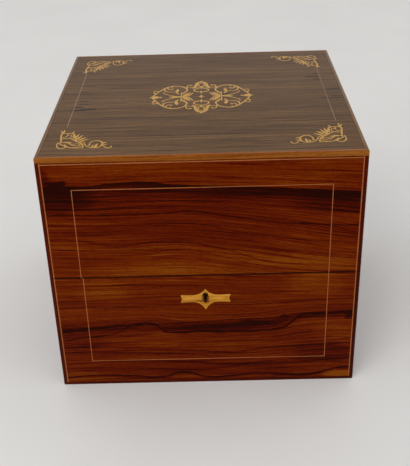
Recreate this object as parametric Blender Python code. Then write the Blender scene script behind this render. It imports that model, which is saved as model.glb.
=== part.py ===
"""A liqueur case with a deep hinged lid, its lock, hinges, lift-out rack, decanters and glasses.

The case stands on the ground with its front towards -Y and +Z up. The origin is the middle of its foot.
All lengths are in metres.
"""

import math

import bmesh
import bpy
from mathutils import Matrix, Vector
from mathutils.geometry import delaunay_2d_cdt

# Outside of the closed case
CASE_WIDTH = 0.300
CASE_DEPTH = 0.297
CASE_HEIGHT = 0.2575
RIM_HEIGHT = 0.1305
SEAM_GAP = 0.0004

# Boards
WALL = 0.012
TOP_BOARD = 0.010
BOTTOM_BOARD = 0.008
BOTTOM_LIP = 0.006

# Edging let into the arrises
EDGING_WIDTH = 0.0035
TOP_EDGING_HEIGHT = 0.005
FOOT_EDGING_HEIGHT = 0.003
EDGING_ROUND = 0.0012
ROUND_PROFILE_SHARE = 0.5

# Clearances
SEAT = 0.0003
OVERRUN = 0.002
MERGE = 0.000001

# Inlay on the top
INLAY_THICKNESS = 0.0009
MEDALLION_HALF_WIDTH = 0.0545
MEDALLION_HALF_DEPTH = 0.0462
MEDALLION_MARGIN = 0.0006
SPRAY_INSET_X = 0.0168
SPRAY_INSET_Y = 0.0215
SPRAY_LENGTH = 0.0505

# Escutcheon
ESCUTCHEON_HALF_WIDTH = 0.0245
ESCUTCHEON_HALF_HEIGHT = 0.0106
ESCUTCHEON_ARM = 0.0040
ESCUTCHEON_HORN = 0.0005
ESCUTCHEON_HOLLOW = 0.0014
ESCUTCHEON_FLANK = 0.0135
ESCUTCHEON_DROP = 0.0268
ESCUTCHEON_THICKNESS = 0.0010
KEYHOLE_RADIUS = 0.0028
KEYHOLE_SLOT = 0.0026
KEYHOLE_HEIGHT = 0.0122

# Hinges
HINGE_INSET = 0.040
HINGE_LENGTH = 0.050
KNUCKLES = 5
KNUCKLE_RADIUS = 0.0026
KNUCKLE_GAP = 0.0003
KNUCKLE_COVER = 0.0006
PIN_RADIUS = 0.0011
PIN_CLEARANCE = 0.0002
PIN_OVERHANG = 0.0005
LEAF_THICKNESS = 0.0015
LEAF_REACH = 0.0074
TONGUE_BITE = 0.0010
STOP_ANGLE = math.radians(97)

# Lock
LOCK_HALF_WIDTH = 0.031
LOCK_HEIGHT = 0.040
LOCK_DEPTH = 0.0078
LOCK_PLATE = 0.0015
SELVEDGE = 0.0020
CAP_HALF_WIDTH = 0.0280
CAP_HEIGHT = 0.0350
CAP_WALL = 0.0010
KEY_DROP = 0.0226
KEY_PIN_RADIUS = 0.0012
KEY_PIN_TIP_GAP = 0.0010
BOLT_THICKNESS = 0.0018
BOLT_THROW = 0.0065
BOLT_BAR_HEIGHT = 0.0070
BOLT_BAR_DROP = 0.0110
BOLT_ARM = 0.0040
BOLT_FINGER_HEIGHT = 0.0032
BOLT_FINGER_DROP = 0.0037
BOLT_APPROACH = 0.0008
BOLT_PASS = 0.0005
TALON_WIDTH = 0.0080
TALON_DEPTH = 0.0035
STAPLE_SPREAD = 0.014
STAPLE_THICKNESS = 0.0020
STAPLE_BAR = 0.0010
STAPLE_DROP = 0.0090
STAPLE_PLAY = 0.00035
STAPLE_SLOT_PLAY = 0.0005
SPRING_THICKNESS = 0.0006
SPRING_WIDTH = 0.0030
SPRING_REACH = 0.0080
LINK_PLATE = 0.0020

# Rack
RACK_CLEARANCE = 0.0015
RACK_FLOOR = 0.006
RACK_SHELF = 0.005
SHELF_RISE = 0.056
SHELF_MARGIN = 0.004
SHELF_BAR = 0.005
POST_RADIUS = 0.0034
POST_WAIST = 0.0020
POST_INSET = 0.0056
HANDLE_ROD_RADIUS = 0.0028
HANDLE_FLANGE_RADIUS = 0.0085
HANDLE_FLANGE = 0.0025
HANDLE_RING_RADIUS = 0.0130
HANDLE_RING_WIRE = 0.0024
HANDLE_KNOB_RADIUS = 0.0050
HANDLE_DROP = 0.052
HANDLE_PLAY = 0.0005

# Glasses
GLASS_HEIGHT = 0.088
BOWL_RADIUS = 0.0205
BOWL_DEPTH = 0.041
BOWL_WALL = 0.0015
FOOT_RADIUS = 0.0185
FOOT_THICKNESS = 0.0014
FOOT_CONE = 0.0045
STEM_RADIUS = 0.0027
KNOP_RADIUS = 0.0048
KNOP_HALF_HEIGHT = 0.0040
GLASS_PLAY = 0.0015

# Decanters and stoppers
DECANTER_PLAY = 0.0010
DECANTER_CHAMFER = 0.009
DECANTER_WALL = 0.004
DECANTER_BASE = 0.008
SHOULDER_RISE = 0.020
NECK_RADIUS = 0.0130
NECK_BORE = 0.0085
NECK_HEIGHT = 0.026
LIP_RADIUS = 0.0170
LIP_THICKNESS = 0.004
STOPPER_PLUG = 0.016
STOPPER_TAPER = 0.0008
STOPPER_COLLAR = 0.0105
STOPPER_COLLAR_THICKNESS = 0.0020
STOPPER_KNOB = 0.0145
STOPPER_KNOB_HEIGHT = 0.026
HEADROOM = 0.027

# How far a regular octagon's corners are cut back, as a share of its half width
OCTAGON_CUT_SHARE = 2 - math.sqrt(2)

# How finely round shapes are divided
GLASS_SIDES = 10
DECANTER_SIDES = 16
HOLE_SIDES = 12
ROD_SIDES = 10
KNUCKLE_SIDES = 12

# Sizes worked out from the ones above
HALF_WIDTH = CASE_WIDTH / 2
HALF_DEPTH = CASE_DEPTH / 2
LID_RIM = RIM_HEIGHT + SEAM_GAP
MITRE_GAP = SEAT / math.sqrt(2)
INNER_HALF_WIDTH = HALF_WIDTH - WALL
INNER_HALF_DEPTH = HALF_DEPTH - WALL
TOP_SEAT = CASE_HEIGHT - TOP_BOARD - SEAT
HINGE_PLACE = HALF_WIDTH - HINGE_INSET - HINGE_LENGTH / 2
HINGE_Y = HALF_DEPTH - KNUCKLE_RADIUS - KNUCKLE_COVER
HINGE_Z = RIM_HEIGHT + SEAM_GAP / 2
BEVEL_ANGLE = STOP_ANGLE / 2
LOCK_BACK = -INNER_HALF_DEPTH
LOCK_FACE = LOCK_BACK - LOCK_DEPTH
WORKS_MIDDLE = LOCK_BACK - (LOCK_PLATE + LOCK_DEPTH - CAP_WALL) / 2
KEY_HEIGHT = RIM_HEIGHT - KEY_DROP
ESCUTCHEON_HEIGHT = RIM_HEIGHT - ESCUTCHEON_DROP
RACK_HALF_WIDTH = INNER_HALF_WIDTH - RACK_CLEARANCE
RACK_HALF_DEPTH = INNER_HALF_DEPTH - RACK_CLEARANCE
RACK_BASE = BOTTOM_BOARD + SEAT
RACK_FLOOR_TOP = RACK_BASE + RACK_FLOOR
SHELF_BASE = RACK_FLOOR_TOP + SHELF_RISE
SHELF_TOP = SHELF_BASE + RACK_SHELF
STAND = RACK_FLOOR_TOP + SEAT
GLASS_HOLE = BOWL_RADIUS + GLASS_PLAY
GLASS_RING_X = RACK_HALF_WIDTH - SHELF_MARGIN - GLASS_HOLE
GLASS_RING_Y = RACK_HALF_DEPTH - SHELF_MARGIN - GLASS_HOLE
DECANTER_SPACE = min(GLASS_RING_X, GLASS_RING_Y) - GLASS_HOLE - SHELF_BAR / 2
DECANTER_OPENING = (DECANTER_SPACE - SHELF_BAR / 2) / 2
DECANTER_HALF = DECANTER_OPENING - DECANTER_PLAY
DECANTER_PLACE = SHELF_BAR / 2 + DECANTER_OPENING
STOPPER_ABOVE = SEAT + STOPPER_COLLAR_THICKNESS + STOPPER_KNOB_HEIGHT
DECANTER_HEIGHT = TOP_SEAT - HEADROOM - STAND - STOPPER_ABOVE
NECK_BASE = DECANTER_HEIGHT - LIP_THICKNESS - NECK_HEIGHT
DECANTER_SHOULDER = NECK_BASE - SHOULDER_RISE

WOOD_LOOK = {"roughness": 0.35, "metallic": 0.0}
METAL_LOOK = {"roughness": 0.3, "metallic": 1.0}
GLASS_LOOK = {"roughness": 0.02, "metallic": 0.0}

# The medallion, one quarter of it, in shares of its half width: strokes as (route, thickness), leaves as
# (root, tip, breadth) and dots as (centre, radius)
MEDALLION_STROKE_SHARES = (
    (((0.93, 0.00), (0.86, 0.17), (0.79, 0.35), (0.739, 0.446), (0.68, 0.53), (0.618, 0.583), (0.55, 0.61),
      (0.473, 0.607), (0.40, 0.58), (0.342, 0.532), (0.30, 0.47), (0.281, 0.401), (0.28, 0.33),
      (0.294, 0.266), (0.32, 0.21), (0.40, 0.14)), 0.034),
    (((0.39, -0.02), (0.39, 0.26)), 0.024),
    (((0.70, 0.48), (0.71, 0.36), (0.63, 0.28), (0.48, 0.28), (0.41, 0.22)), 0.028),
    (((0.63, 0.56), (0.62, 0.45), (0.55, 0.42)), 0.026),
    (((0.38, 0.02), (0.55, 0.08), (0.66, 0.14), (0.72, 0.20), (0.70, 0.27)), 0.024),
    (((0.29, 0.45), (0.29, 0.58), (0.25, 0.64), (0.21, 0.62)), 0.026),
    (((-0.02, 0.52), (0.16, 0.52), (0.29, 0.50)), 0.026),
    (((0.10, 0.50), (0.11, 0.62), (0.10, 0.73), (0.05, 0.80), (-0.02, 0.82)), 0.055),
    (((-0.02, 0.46), (0.09, 0.44), (0.124, 0.405), (0.14, 0.36), (0.13, 0.311), (0.11, 0.26)), 0.030),
    (((0.00, -0.02), (0.00, 0.57)), 0.018),
    (((0.32, 0.00), (0.46, 0.00)), 0.030),
)
MEDALLION_LEAF_SHARES = (
    ((0.47, 0.27), (0.47, 0.44), 0.07),
    ((0.50, 0.28), (0.43, 0.12), 0.05),
    ((0.40, 0.01), (0.62, 0.04), 0.05),
    ((0.34, 0.00), (0.16, 0.22), 0.09),
    ((0.80, 0.00), (1.00, 0.00), 0.16),
    ((0.86, 0.14), (0.92, 0.31), 0.05),
    ((0.00, 0.20), (0.00, 0.34), 0.05),
    ((0.00, 0.55), (0.00, 0.76), 0.05),
)
MEDALLION_DOT_SHARES = (
    ((0.00, 0.00), 0.035),
    ((0.11, 0.52), 0.030),
    ((0.11, 0.25), 0.030),
    ((0.21, 0.62), 0.028),
    ((0.55, 0.42), 0.028),
)

# One corner spray, with its outer corner at (0, 0) and its arms along +X and +Y, in shares of the longer arm
SPRAY_STROKE_SHARES = (
    (((0.06, 0.23), (0.05, 0.36), (0.03, 0.50), (0.02, 0.65), (0.05, 0.76), (0.04, 0.85)), 0.052),
    (((0.01, 0.70), (0.12, 0.70), (0.21, 0.69), (0.27, 0.60), (0.30, 0.47), (0.33, 0.36),
      (0.39, 0.27)), 0.048),
    (((0.04, 0.44), (0.10, 0.45), (0.18, 0.46), (0.25, 0.42), (0.32, 0.33), (0.40, 0.26), (0.46, 0.17),
      (0.49, 0.07), (0.49, 0.00)), 0.050),
    (((0.06, 0.28), (0.18, 0.25), (0.24, 0.19), (0.28, 0.14), (0.36, 0.12), (0.48, 0.13)), 0.040),
    (((0.01, 0.26), (0.08, 0.17), (0.18, 0.08), (0.28, 0.02), (0.50, 0.01)), 0.042),
    (((0.01, 0.28), (0.00, 0.17), (0.02, 0.06), (0.09, -0.01), (0.16, 0.02), (0.19, 0.08)), 0.036),
    (((0.49, 0.25), (0.52, 0.14), (0.58, 0.05), (0.68, 0.00), (0.78, 0.02), (0.83, 0.11), (0.83, 0.21),
      (0.78, 0.29), (0.72, 0.32), (0.65, 0.30), (0.60, 0.22), (0.60, 0.12)), 0.046),
    (((0.80, 0.14), (0.86, 0.07), (0.92, -0.01), (0.98, -0.02), (1.01, 0.03), (1.00, 0.07)), 0.036),
    (((0.38, 0.27), (0.44, 0.28), (0.49, 0.24)), 0.040),
)
SPRAY_LEAF_SHARES = (
    ((0.05, 0.71), (-0.03, 0.82), 0.050),
    ((0.21, 0.68), (0.25, 0.80), 0.045),
    ((0.30, 0.37), (0.36, 0.66), 0.085),
    ((0.32, 0.35), (0.44, 0.62), 0.085),
    ((0.34, 0.33), (0.52, 0.54), 0.085),
    ((0.36, 0.31), (0.58, 0.42), 0.080),
    ((0.41, 0.27), (0.59, 0.33), 0.060),
    ((0.09, 0.27), (0.25, 0.27), 0.080),
    ((0.71, 0.00), (0.74, 0.19), 0.085),
    ((0.83, 0.23), (0.92, 0.21), 0.050),
    ((0.18, 0.08), (0.13, 0.19), 0.045),
)
SPRAY_DOT_SHARES = (((0.18, 0.08), 0.028),)
SPRAY_POCKET_SHARES = ((-0.04, -0.04), (1.03, -0.04), (1.03, 0.12), (0.94, 0.30), (0.62, 0.56), (0.30, 0.86),
                       (-0.04, 0.88))


def clear_scene():
    for thing in list(bpy.data.objects):
        bpy.data.objects.remove(thing, do_unlink=True)


def material(name, colour, look, alpha=1.0):
    made = bpy.data.materials.new(name)
    made.use_nodes = True
    made.diffuse_color = (*colour, alpha)
    shader = made.node_tree.nodes["Principled BSDF"]
    shader.inputs["Base Color"].default_value = (*colour, 1.0)
    shader.inputs["Roughness"].default_value = look["roughness"]
    shader.inputs["Metallic"].default_value = look["metallic"]
    shader.inputs["Transmission Weight"].default_value = 1.0 - alpha
    return made


def mesh_of(bm, name, finish=None, smooth_under=None):
    """The finished mesh, closed and facing out, and smooth over edges flatter than smooth_under."""
    bmesh.ops.remove_doubles(bm, verts=bm.verts, dist=MERGE)
    bmesh.ops.recalc_face_normals(bm, faces=bm.faces)
    mesh = bpy.data.meshes.new(name)
    bm.to_mesh(mesh)
    bm.free()
    if finish:
        mesh.materials.append(finish)
    if smooth_under:
        mesh.shade_smooth()
        mesh.set_sharp_from_angle(angle=smooth_under)
    return mesh


def piece(name, mesh, parent=None, place=(0, 0, 0)):
    """One piece of the case, placed in the world and carried by its parent."""
    made = bpy.data.objects.new(name, mesh)
    bpy.context.scene.collection.objects.link(made)
    made.location = place
    if parent:
        bpy.context.view_layer.update()
        made.parent = parent
        made.matrix_parent_inverse = parent.matrix_world.inverted()
    return made


def pivot(name, place, parent=None):
    """An empty on a joint's axis, which carries the pieces that move together."""
    made = piece(name, None, parent, place)
    bpy.context.view_layer.update()
    return made


def shape(target, tool_mesh, operation="DIFFERENCE"):
    """Cuts a hidden tool out of a piece, or joins it on."""
    tool = piece(tool_mesh.name, tool_mesh)
    tool.hide_render = True
    tool.display_type = "WIRE"
    step = target.modifiers.new(tool_mesh.name, "BOOLEAN")
    step.operation = operation
    step.object = tool
    step.solver = "EXACT"


def block(low, high):
    bm = bmesh.new()
    add_block(bm, low, high)
    return bm


def add_block(bm, low, high):
    low = Vector(low)
    high = Vector(high)
    scale = Matrix.Diagonal((*(high - low), 1))
    bmesh.ops.create_cube(bm, size=1, matrix=Matrix.Translation((low + high) / 2) @ scale)


PLANES = {
    "xy": lambda a, b, level: (a, b, level),
    "xz": lambda a, b, level: (a, level, b),
    "yz": lambda a, b, level: (level, a, b),
}


def extruded(outline, low, high, plane="xy", holes=()):
    """A solid between two levels across a plane, from an outline with any holes in it."""
    place = PLANES[plane]
    bm = bmesh.new()
    edges = []
    for loop in (outline, *holes):
        corners = [bm.verts.new(place(a, b, low)) for a, b in loop]
        edges += [bm.edges.new((corners[i - 1], corners[i])) for i in range(len(corners))]
    bmesh.ops.triangle_fill(bm, use_beauty=True, edges=edges)
    raised = bmesh.ops.extrude_face_region(bm, geom=bm.faces[:])
    upper = [made for made in raised["geom"] if isinstance(made, bmesh.types.BMVert)]
    bmesh.ops.translate(bm, vec=place(0, 0, high - low), verts=upper)
    return bm


def turned(profile, sides, closed=False):
    """A solid turned about Z from (radius, height) points, which start and end on the axis or form a loop."""
    bm = bmesh.new()
    points = [bm.verts.new((radius, 0, height)) for radius, height in profile]
    first = 0 if closed else 1
    edges = [bm.edges.new((points[i - 1], points[i])) for i in range(first, len(points))]
    bmesh.ops.spin(
        bm, geom=points + edges, axis=(0, 0, 1), cent=(0, 0, 0), angle=math.tau, steps=sides, use_merge=True
    )
    return bm


def lofted(rings):
    """A solid whose skin runs through rings of points, closed at the first and the last."""
    bm = bmesh.new()
    loops = [[bm.verts.new(point) for point in ring] for ring in rings]
    for below, above in zip(loops, loops[1:]):
        for i in range(len(below)):
            bm.faces.new((below[i - 1], below[i], above[i], above[i - 1]))
    bm.faces.new(loops[0])
    bm.faces.new(loops[-1])
    return bm


def saw(bm, point, normal):
    """Takes away what lies on the normal's side of a plane, and closes the cut."""
    everything = bm.verts[:] + bm.edges[:] + bm.faces[:]
    cut = bmesh.ops.bisect_plane(
        bm, geom=everything, dist=MERGE, plane_co=point, plane_no=normal, clear_outer=True
    )
    edges = [made for made in cut["geom_cut"] if isinstance(made, bmesh.types.BMEdge)]
    bmesh.ops.edgeloop_fill(bm, edges=edges)


def circle(centre, radius, sides):
    turns = [math.tau * i / sides for i in range(sides)]
    return [(centre[0] + radius * math.cos(turn), centre[1] + radius * math.sin(turn)) for turn in turns]


def rectangle(half_width, half_depth):
    return [(x * half_width, y * half_depth) for x, y in ((-1, -1), (1, -1), (1, 1), (-1, 1))]


# Walls and boards

TURNS = {"front": 0, "right": 1, "back": 2, "left": 3}


def wall(side, profile, rim, rim_sign):
    """One wall with mitred ends. Its profile has (inset from the outer face, height) points."""
    turns = TURNS[side]
    half_length, half_across = (HALF_WIDTH, HALF_DEPTH) if turns % 2 == 0 else (HALF_DEPTH, HALF_WIDTH)
    outline = [(inset - half_across, height) for inset, height in profile]
    bm = extruded(outline, -half_length, half_length, "yz")
    for end in (-1, 1):
        saw(bm, (end * (half_length - EDGING_WIDTH - SEAT), 0, 0), (end, 0, 0))
        saw(bm, (end * (half_length - MITRE_GAP), -half_across, 0), (end, 1, 0))
    bmesh.ops.rotate(bm, cent=(0, 0, 0), matrix=Matrix.Rotation(turns * math.pi / 2, 3, "Z"), verts=bm.verts)
    if side == "back":
        bevel_rear(bm, rim, rim_sign)
    return bm


def bevel_rear(bm, rim, rim_sign):
    """Bevels a rim behind the hinge line. The two bevels meet when the lid is fully open and hold it."""
    saw(bm, (0, HINGE_Y, rim), (0, math.sin(BEVEL_ANGLE), rim_sign * math.cos(BEVEL_ANGLE)))


def base_profile():
    groove = EDGING_WIDTH + SEAT
    foot = FOOT_EDGING_HEIGHT + SEAT
    seat = BOTTOM_BOARD + SEAT
    return [(0, foot), (0, RIM_HEIGHT), (WALL, RIM_HEIGHT), (WALL, seat), (BOTTOM_LIP, seat), (BOTTOM_LIP, 0),
            (groove, 0), (groove, foot)]


def lid_profile():
    shoulder = CASE_HEIGHT - TOP_EDGING_HEIGHT - SEAT
    return [(0, LID_RIM), (0, shoulder), (EDGING_WIDTH, shoulder), (EDGING_WIDTH, TOP_SEAT), (WALL, TOP_SEAT),
            (WALL, LID_RIM)]


def edging(low, high, opening_low, opening_high, rim, rim_sign):
    """The strips on the arrises of the base or the lid, as the frame that they form once glued."""
    bm = block((-HALF_WIDTH, -HALF_DEPTH, low), (HALF_WIDTH, HALF_DEPTH, high))
    outer = [edge for edge in bm.edges if any(abs(point.co.z - rim) > MERGE for point in edge.verts)]
    bmesh.ops.bevel(
        bm, geom=outer, offset=EDGING_ROUND, offset_type="OFFSET", segments=2, profile=ROUND_PROFILE_SHARE,
        affect="EDGES", clamp_overlap=True,
    )
    bevel_rear(bm, rim, rim_sign)
    inner_width = HALF_WIDTH - EDGING_WIDTH
    inner_depth = HALF_DEPTH - EDGING_WIDTH
    beyond_side = HALF_WIDTH + OVERRUN
    beyond_front = HALF_DEPTH + OVERRUN
    across = block((-beyond_side, -inner_depth, opening_low), (beyond_side, inner_depth, opening_high))
    along = block((-inner_width, -beyond_front, opening_low), (inner_width, beyond_front, opening_high))
    upright = block((-inner_width, -inner_depth, low - OVERRUN), (inner_width, inner_depth, high + OVERRUN))
    return bm, (across, along, upright)


# Inlay

def stroke_outlines(route, thickness):
    """A pen-like stroke that thins towards both ends, as short four-sided pieces laid end to end."""
    curve = [Vector(point) for point in route]
    sides = []
    for i, point in enumerate(curve):
        heading = (curve[min(i + 1, len(curve) - 1)] - curve[max(i - 1, 0)]).normalized()
        swell_share = 0.55 + 0.45 * math.sin(math.pi * i / (len(curve) - 1))
        side = Vector((-heading.y, heading.x)) * (thickness * swell_share / 2)
        sides.append((point + side, point - side))
    return [[*start, *end[::-1]] for start, end in zip(sides, sides[1:])]


def leaf_outline(root, tip, breadth):
    """A pointed leaf, broadest a little past its root."""
    root = Vector(root)
    spine = Vector(tip) - root
    side = Vector((-spine.y, spine.x)).normalized() * (breadth / 2)
    low_share, high_share = 0.35, 0.70
    broad = root + spine * low_share
    narrow = root + spine * high_share
    return [root + side * low_share, broad + side, narrow + side * high_share, root + spine,
            narrow - side * high_share, broad - side, root - side * low_share]


def motif_outlines(strokes, leaves, dots):
    outlines = []
    for route, thickness in strokes:
        outlines += stroke_outlines(route, thickness)
    outlines += [leaf_outline(*leaf) for leaf in leaves]
    outlines += [[Vector(point) for point in circle(centre, radius, 8)] for centre, radius in dots]
    return outlines


def facing_up(outline):
    """The outline with its points running anticlockwise."""
    area = sum(before.cross(point) for before, point in zip(outline[-1:] + outline, outline))
    return outline if area > 0 else outline[::-1]


def inlay(outlines, flips, unit, low, high):
    """One flat piece cut to the union of overlapping outlines, each repeated for every flip."""
    points = []
    loops = []
    for flip_x, flip_y in flips:
        for outline in outlines:
            loops.append(list(range(len(points), len(points) + len(outline))))
            points += facing_up([Vector((point.x * flip_x, point.y * flip_y)) for point in outline])
    corners, _, faces, _, _, sources = delaunay_2d_cdt(points, [], loops, 0, 0.0001)
    bm = bmesh.new()
    made = [bm.verts.new((corner.x * unit, corner.y * unit, low)) for corner in corners]
    for face, source in zip(faces, sources):
        if source:
            bm.faces.new([made[i] for i in face])
    rim = [edge for edge in bm.edges if edge.is_boundary]
    bmesh.ops.delete(bm, geom=bm.faces[:], context="FACES_ONLY")
    bmesh.ops.delete(bm, geom=[edge for edge in bm.edges if edge not in set(rim)], context="EDGES")
    bmesh.ops.triangle_fill(bm, use_beauty=True, edges=bm.edges[:])
    raised = bmesh.ops.extrude_face_region(bm, geom=bm.faces[:])
    upper = [made for made in raised["geom"] if isinstance(made, bmesh.types.BMVert)]
    bmesh.ops.translate(bm, vec=(0, 0, high - low), verts=upper)
    return bm


def keyhole_outline():
    """A round top about the key's axis, with a slot below it."""
    half_slot = KEYHOLE_SLOT / 2
    start = -math.acos(half_slot / KEYHOLE_RADIUS)
    sweep = math.pi - 2 * start
    sides = 12
    turns = [start + sweep * i / sides for i in range(sides + 1)]
    arch = [(KEYHOLE_RADIUS * math.cos(turn), KEY_HEIGHT + KEYHOLE_RADIUS * math.sin(turn)) for turn in turns]
    bottom = KEY_HEIGHT + KEYHOLE_RADIUS - KEYHOLE_HEIGHT
    return [*arch, (-half_slot, bottom), (half_slot, bottom)]


def escutcheon_outline(grow):
    """A lozenge with hollow flanks, which runs out to two arms with hollow ends."""
    flank_share = 0.34
    bends = 5
    top = Vector((0, ESCUTCHEON_HALF_HEIGHT + grow))
    hollow = Vector((ESCUTCHEON_FLANK * flank_share, ESCUTCHEON_ARM + grow))
    shoulder = Vector((ESCUTCHEON_FLANK, ESCUTCHEON_ARM + grow))
    quarter = []
    for i in range(bends + 1):
        t = i / bends
        quarter.append(top * (1 - t) ** 2 + hollow * 2 * t * (1 - t) + shoulder * t ** 2)
    quarter.append(Vector((ESCUTCHEON_HALF_WIDTH + grow, ESCUTCHEON_ARM + ESCUTCHEON_HORN + grow)))
    quarter.append(Vector((ESCUTCHEON_HALF_WIDTH + grow - ESCUTCHEON_HOLLOW, 0)))
    right = quarter + [Vector((point.x, -point.y)) for point in quarter[-2::-1]]
    left = [Vector((-point.x, point.y)) for point in right[-2:0:-1]]
    return [(point.x, ESCUTCHEON_HEIGHT + point.y) for point in right + left]


# Hinges

def add_rod(bm, radius, low, high):
    """A round bar along the hinge line."""
    middle = Matrix.Translation(((low + high) / 2, HINGE_Y, HINGE_Z)) @ Matrix.Rotation(math.pi / 2, 4, "Y")
    bmesh.ops.create_cone(
        bm, cap_ends=True, segments=KNUCKLE_SIDES, radius1=radius, radius2=radius, depth=high - low,
        matrix=middle,
    )


def hinge_leaf(leaf_low, leaf_high, own):
    """One leaf at x = 0 with its own knuckles. own tells which of the knuckles are this leaf's."""
    half = HINGE_LENGTH / 2
    length = (HINGE_LENGTH - KNUCKLE_GAP * (KNUCKLES - 1)) / KNUCKLES
    inner = HINGE_Y - LEAF_REACH
    outer = HINGE_Y - KNUCKLE_RADIUS - KNUCKLE_GAP
    tongue = HINGE_Y - KNUCKLE_RADIUS + TONGUE_BITE
    outline = [(-half, outer), (-half, inner), (half, inner), (half, outer)]
    barrel = bmesh.new()
    for knuckle in reversed(range(KNUCKLES)):
        if knuckle % 2 != own:
            continue
        start = -half + knuckle * (length + KNUCKLE_GAP)
        right = start + length - KNUCKLE_GAP
        left = start + KNUCKLE_GAP
        outline += [(right, outer), (right, tongue), (left, tongue), (left, outer)]
        add_rod(barrel, KNUCKLE_RADIUS, start, start + length)
    return extruded(outline, leaf_low, leaf_high), barrel


def build_hinge(side, sign, brass, base, lid):
    """The two leaves of a hinge. The pin is riveted fast in the base leaf's knuckles, so it is one with them."""
    place = sign * HINGE_PLACE
    reach = HINGE_LENGTH / 2 + OVERRUN
    half_pin = HINGE_LENGTH / 2 + PIN_OVERHANG
    leaves = (
        ("base", RIM_HEIGHT - LEAF_THICKNESS, RIM_HEIGHT, 0, base),
        ("lid", LID_RIM, LID_RIM + LEAF_THICKNESS, 1, lid),
    )
    for owner, leaf_low, leaf_high, own, parent in leaves:
        plate, barrel = hinge_leaf(leaf_low, leaf_high, own)
        leaf = piece(f"hinge_{owner}_leaf_{side}", mesh_of(plate, f"{owner}_leaf", brass), parent)
        shape(leaf, mesh_of(barrel, f"{owner}_barrel_{side}"), "UNION")
        core = bmesh.new()
        if owner == "base":
            add_rod(core, PIN_RADIUS, -half_pin, half_pin)
            shape(leaf, mesh_of(core, f"pin_{side}"), "UNION")
        else:
            add_rod(core, PIN_RADIUS + PIN_CLEARANCE, -reach, reach)
            shape(leaf, mesh_of(core, f"pin_bore_{side}"))
        leaf.location.x += place
        for step in leaf.modifiers:
            step.object.location.x += place


def cut_hinge_gains(back, rim, low, high):
    """Lets the hinges into a rear rim: a round gain for the knuckles and a flat one for the leaf."""
    half_leaf = HINGE_LENGTH / 2 + SEAT
    half_barrel = HINGE_LENGTH / 2 + PIN_OVERHANG + SEAT
    gain_radius = (KNUCKLE_RADIUS + SEAT) / math.cos(math.pi / KNUCKLE_SIDES)
    for side, sign in (("left", -1), ("right", 1)):
        centre = sign * HINGE_PLACE
        barrel = bmesh.new()
        add_rod(barrel, gain_radius, centre - half_barrel, centre + half_barrel)
        recess = block((centre - half_leaf, HINGE_Y - LEAF_REACH - SEAT, low),
                       (centre + half_leaf, HINGE_Y - KNUCKLE_RADIUS + TONGUE_BITE, high))
        shape(back, mesh_of(barrel, f"{back.name}_barrel_gain_{side}"))
        shape(back, mesh_of(recess, f"{back.name}_leaf_gain_{side}"))


# Lock

def staple_slots(bottom, top):
    """The two slots in the lock's selvedge that the staples pass."""
    half_width = STAPLE_THICKNESS / 2 + STAPLE_SLOT_PLAY
    half_depth = BOLT_THICKNESS / 2 + STAPLE_PLAY + STAPLE_BAR + STAPLE_SLOT_PLAY
    slots = bmesh.new()
    for sign in (-1, 1):
        centre = sign * STAPLE_SPREAD
        add_block(slots, (centre - half_width, WORKS_MIDDLE - half_depth, bottom),
                  (centre + half_width, WORKS_MIDDLE + half_depth, top))
    return slots


def build_lock(brass, steel, base, lid):
    inner_face = LOCK_BACK - LOCK_PLATE
    profile = [(LOCK_BACK, RIM_HEIGHT - LOCK_HEIGHT), (LOCK_BACK, RIM_HEIGHT), (LOCK_FACE, RIM_HEIGHT),
               (LOCK_FACE, RIM_HEIGHT - SELVEDGE), (inner_face, RIM_HEIGHT - SELVEDGE),
               (inner_face, RIM_HEIGHT - LOCK_HEIGHT)]
    folded = extruded(profile, -LOCK_HALF_WIDTH, LOCK_HALF_WIDTH, "yz")
    plate = piece("lock_plate", mesh_of(folded, "lock_plate", brass), base)
    slots = staple_slots(RIM_HEIGHT - SELVEDGE - OVERRUN, RIM_HEIGHT + OVERRUN)
    shape(plate, mesh_of(slots, "selvedge_slots"))
    tip = LOCK_FACE + CAP_WALL + KEY_PIN_TIP_GAP
    root = LOCK_BACK - LOCK_PLATE / 2
    key_pin = extruded(circle((0, KEY_HEIGHT), KEY_PIN_RADIUS, ROD_SIDES), tip, root, "xz")
    shape(plate, mesh_of(key_pin, "key_pin"), "UNION")

    cap_top = RIM_HEIGHT - SELVEDGE - SEAT
    cap_bottom = cap_top - CAP_HEIGHT
    cap_back = inner_face - SEAT
    shell = block((-CAP_HALF_WIDTH, LOCK_FACE, cap_bottom), (CAP_HALF_WIDTH, cap_back, cap_top))
    cap = piece("lock_cap", mesh_of(shell, "lock_cap", brass), base)
    works = block((-CAP_HALF_WIDTH + CAP_WALL, LOCK_FACE + CAP_WALL, cap_bottom + CAP_WALL),
                  (CAP_HALF_WIDTH - CAP_WALL, cap_back + OVERRUN, cap_top + OVERRUN))
    shape(cap, mesh_of(works, "works_space"))
    keyhole = extruded(keyhole_outline(), LOCK_FACE - OVERRUN, LOCK_FACE + CAP_WALL + OVERRUN, "xz")
    shape(cap, mesh_of(keyhole, "cap_keyhole"))

    build_bolt(steel, base)
    build_spring(steel, base)
    build_link_plate(brass, lid)


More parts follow.
